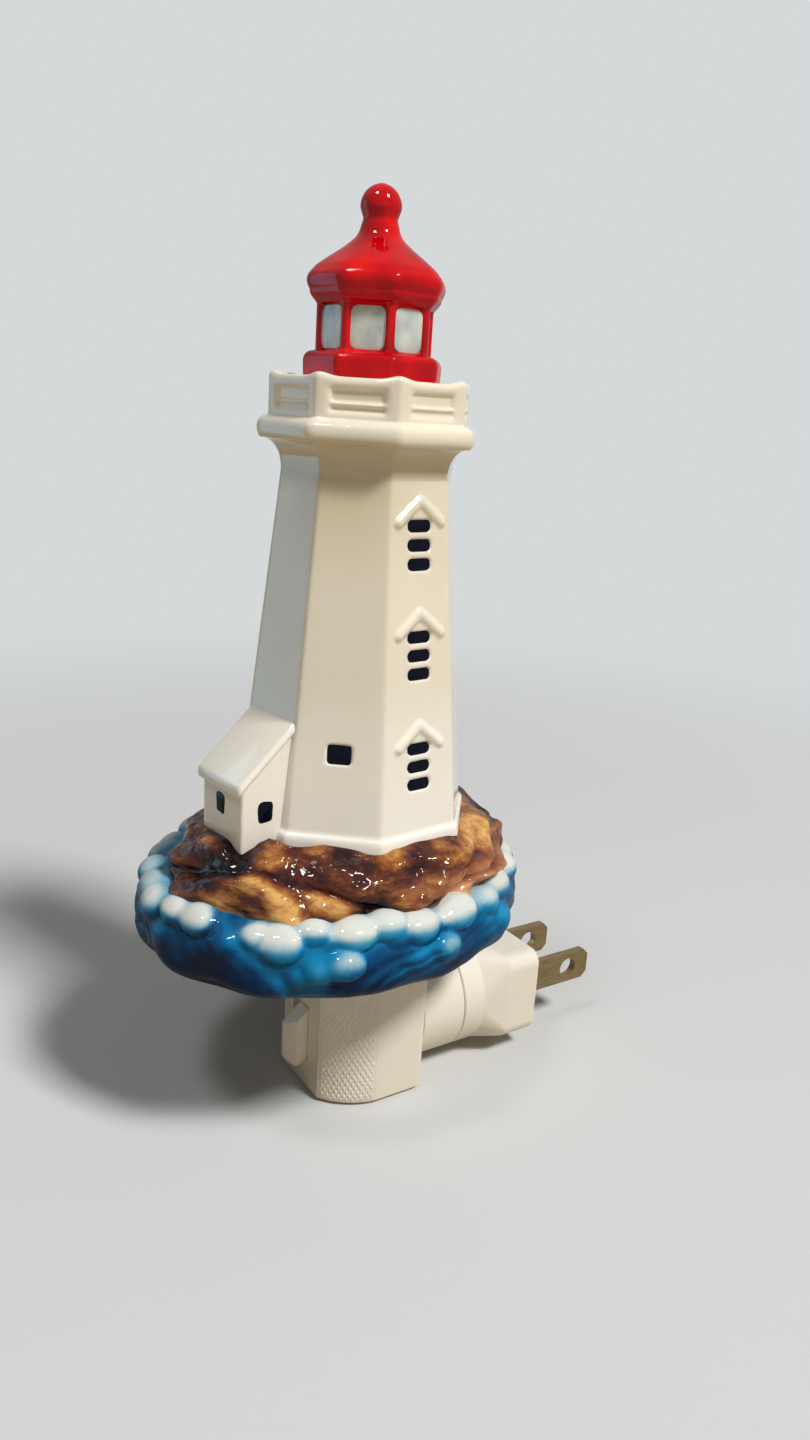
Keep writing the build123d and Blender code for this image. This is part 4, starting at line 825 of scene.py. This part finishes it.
ivory = mottled("moulded_urea_plastic", 30.0, 2.0, "#f1ebdc", "#f6f1e6", Roughness=0.33, Specular_IOR_Level=0.45,
                IOR=1.5, Subsurface_Weight=0.1, Subsurface_Radius=(0.003, 0.0024, 0.0016), Subsurface_Scale=1.0)
bump(ivory.node_tree, object_noise(ivory.node_tree, 0.5, 2.0), 0.006)
finish(ivory, "front_shell", "rear_shell", "plug_upper_half", "plug_lower_half", "switch_slider")

nickel_with_painted_reflection, tree = new_material("nickel_plated_brass_with_painted_reflection", Metallic=1.0, Roughness=0.3)
drawn = add(tree, "ShaderNodeMapping", {"Vector": object_place(tree), "Scale": (9, 0.35, 9)}).outputs[0]
grain = add(tree, "ShaderNodeTexNoise", {"Vector": drawn, "Scale": 900.0, "Detail": 3.0}).outputs["Fac"]
# painted reflection: the plating is coloured brown-gold as if it showed a wooden table, over the metal's own drawn
# grain
into(tree, ramp(tree, grain, (0.3, "#7d6846"), (0.7, "#a68e66")))
bump(tree, grain, 0.012)
finish(nickel_with_painted_reflection, "blade_neutral", "blade_live")

cap_metal = mottled("rolled_brass_cap", 3.0, 3.0, "#a08448", "#c8ad70", Metallic=1.0, Roughness=0.3)
tree = cap_metal.node_tree
THREAD_PITCH = 0.00254  # metres that the candelabra thread rises in a turn
height = add(tree, "ShaderNodeSeparateXYZ", {0: object_place(tree)}).outputs["Z"]
bump(tree, calc(tree, "SINE", calc(tree, "MULTIPLY", height, 2 * math.pi / THREAD_PITCH)), 0.35)
finish(cap_metal, "bulb_cap")

finish(mottled("bare_stamped_brass", 4.0, 4.0, "#a8803a", "#cfa75a", Metallic=1.0, Roughness=0.28),
       *nodes_called("strip_", "wiper_l", "wiper_n", "plug_contact"), "socket_shell", "centre_contact",
       "switch_bridge")
finish(mottled("zinc_plated_steel", 1.5, 3.0, "#94928c", "#b4b3ae", Metallic=1.0, Roughness=0.34),
       *nodes_called("housing_screw", "shade_clip"), "plug_screw", "bulb_filament")
finish(mottled("black_phenolic", 0.8, 3.0, "#14110f", "#221d1a", Roughness=0.5),
       "wiper_carrier", "socket_sleeve", "bulb_insulator")
finish(mottled("red_vulcanised_fibre", 0.6, 3.0, "#6e2a1c", "#8f4230", Roughness=0.7), "swivel_washer")
finish(mottled("dull_solder", 1.0, 3.0, "#9a9a98", "#b8b8b4", Metallic=1.0, Roughness=0.45), "bulb_contact")
finish(mottled("blown_soda_glass", 12.0, 1.0, "#f4faf9", "#ffffff", Roughness=0.02, IOR=1.5,
               Transmission_Weight=1.0), "bulb_glass", "bulb_stem")
print("materials so far:", len(bpy.data.materials))

# %% Knurled cheeks
# half the shell's width, half its flat front, the front's place, the cheek's depth and how far it bulges
HALF, FRONT_HALF, FRONT_Y, CHEEK, BULGE = 12.3, 6.5, -45.8, 8.8, 1.1
POINT_HEIGHT, CUT_OFF, SLANT = 0.208, 0.2, 0.62  # of the knurl's points, where they are cut off, and their lean


def cheek_curve(t):
    """Points and normals at shares t of the arc from the front corner over the bulge to the side, and its length."""
    a, b = np.array([FRONT_HALF, FRONT_Y]), np.array([HALF, FRONT_Y + CHEEK])
    chord = np.linalg.norm(b - a)
    radius = (chord**2 / 4 + BULGE**2) / (2 * BULGE)
    along = (b - a) / chord
    outward = np.array([along[1], -along[0]])
    half_angle = math.asin(chord / 2 / radius)
    angle = (2 * t - 1) * half_angle
    centre = (a + b) / 2 - outward * (radius - BULGE)
    normal = np.sin(angle)[..., None] * along + np.cos(angle)[..., None] * outward
    return centre + radius * normal, normal, 2 * radius * half_angle


def triangle(v):
    """Triangle wave: 0 at whole numbers and 1 half-way between."""
    return 2 * np.abs(v - np.floor(v + 0.5))


def knurl(side):
    """Diamond points 1 mm wide: the smaller of two slanted triangle waves, with their tips cut off."""
    low, high, margin = -11.5, 16.6, 0.35
    length = cheek_curve(np.array([0.0]))[2]
    u = np.linspace(margin / length, 1 - margin / length, 96)
    point, normal, _ = cheek_curve(u)
    U, Z = np.meshgrid(u * length, np.linspace(low, high, 236))
    diamonds = POINT_HEIGHT * np.minimum(triangle(U + SLANT * Z), triangle(U - SLANT * Z))
    diamonds = np.clip(diamonds, 0, CUT_OFF)
    border = np.minimum(np.minimum(U - U.min(), U.max() - U), np.minimum(Z - low, high - Z))
    front, behind = (np.stack([(point[:, 0] + normal[:, 0] * out) * side, point[:, 1] + normal[:, 1] * out, Z], -1)
                     for out in (0.03 + diamonds * smoothstep(0, 0.5, border), np.full(Z.shape, -0.3)))
    loop = np.concatenate([front, behind[:, ::-1]], 1)
    piece = tubes("knurled_cheek_" + ("right" if side > 0 else "left"), [loop if side > 0 else loop[:, ::-1]],
                  "base", smooth=False)
    finish(ivory, piece)
    return piece


cheeks = [knurl(side) for side in (1, -1)]
print("knurl:", sum(len(c.data.polygons) for c in cheeks), "faces")

# %% [markdown]
# ## Floor and light
# A pale sheet to stand on. Near the object it is lit by the lamps and takes its shadow; farther off it fades to
# the colour of the backdrop, so there is no horizon. Seen from the camera, the key lamp is high on the right, a
# ceiling lamp hangs high on the left, and a weak warm fill comes low from the front. Two more lamps show only in
# reflections: a cool window close to the left faces, and a sparkle just under the ceiling lamp.

# %% Floor and backdrop
BACKDROP = "#d5d9da"
SIZE, FLOOR_Z = 6000.0, -12.55


def seen_directly(tree):
    """1 for camera, glossy and transmission rays, and 0 for diffuse ones: the largest of three flags."""
    path = add(tree, "ShaderNodeLightPath").outputs
    seen = path["Is Camera Ray"]
    for kind in ("Is Glossy Ray", "Is Transmission Ray"):
        seen = calc(tree, "MAXIMUM", seen, path[kind])
    return seen


floor = object_from("floor", [(-SIZE, -SIZE, FLOOR_Z), (SIZE, -SIZE, FLOOR_Z), (SIZE, SIZE, FLOOR_Z),
                              (-SIZE, SIZE, FLOOR_Z)], [(0, 1, 2, 3)], "base", smooth=False)
floor.parent = None
paper, tree = new_material("pale_paper", Roughness=0.9, Specular_IOR_Level=0.0)
distance = add(tree, "ShaderNodeVectorMath", {0: object_place(tree)}, operation="LENGTH").outputs["Value"]
far = add(tree, "ShaderNodeMapRange", {"Value": distance, "From Min": 0.12, "From Max": 0.42},
          interpolation_type="SMOOTHSTEP").outputs[0]
seen = seen_directly(tree)
# the sheet is pale to look at, but throws back less light than that, so undersides keep their shade
into(tree, blend(tree, seen, linear("#b3a894"), linear("#d9dcdf")))
glow = add(tree, "ShaderNodeEmission", {"Color": linear(BACKDROP), "Strength": 1.0})
mixer = add(tree, "ShaderNodeMixShader", {0: calc(tree, "MULTIPLY", far, seen),
                                          1: tree.nodes["Principled BSDF"].outputs[0], 2: glow.outputs[0]})
tree.links.new(mixer.outputs[0], tree.nodes["Material Output"].inputs["Surface"])
finish(paper, floor)

world = bpy.data.worlds.new("studio")
scene.world = world
world.use_nodes = True
tree = world.node_tree
soft = tree.nodes["Background"]
soft.inputs["Color"].default_value = linear("#f0eadf")
soft.inputs["Strength"].default_value = 0.11
backdrop = add(tree, "ShaderNodeBackground", {"Color": linear(BACKDROP), "Strength": 1.0})
mixer = add(tree, "ShaderNodeMixShader", {0: seen_directly(tree), 1: soft.outputs[0], 2: backdrop.outputs[0]})
tree.links.new(mixer.outputs[0], tree.nodes["World Output"].inputs["Surface"])


# %% Lamps
def lamp(name, place_mm, aim_mm, size_mm, watts, colour, gloss_only=False):
    """A rectangular area lamp aimed at a point; gloss_only keeps it to reflections."""
    data = bpy.data.lights.new(name, "AREA")
    data.shape, data.size, data.size_y = "RECTANGLE", size_mm[0] * MM, size_mm[1] * MM
    data.energy, data.color = watts, linear(colour)[:3]
    made = bpy.data.objects.new(name, data)
    made.visible_diffuse = not gloss_only
    scene.collection.objects.link(made)
    made.location = Vector(place_mm) * MM
    made.rotation_euler = (Vector(aim_mm) - Vector(place_mm)).to_track_quat("-Z", "Y").to_euler()


lamp("key", (1351, 428, 1901), (0, -38, 60), (420, 420), 49.5, "#fffcf7")
lamp("window", (-137, -184, 95), (0, -38, 95), (80, 230), 0.165, "#68aacd", gloss_only=True)
lamp("ceiling", (180, -640, 1350), (0, -38, 40), (230, 230), 3.2, "#ffffff")
lamp("ceiling_sparkle", (180, -640, 1349), (0, -38, 40), (230, 230), 8.0, "#ffffff", gloss_only=True)
lamp("fill", (1250, -250, 300), (0, -38, 40), (600, 600), 0.7, "#ffeccb")

# %% End of the scene
print("scene built")
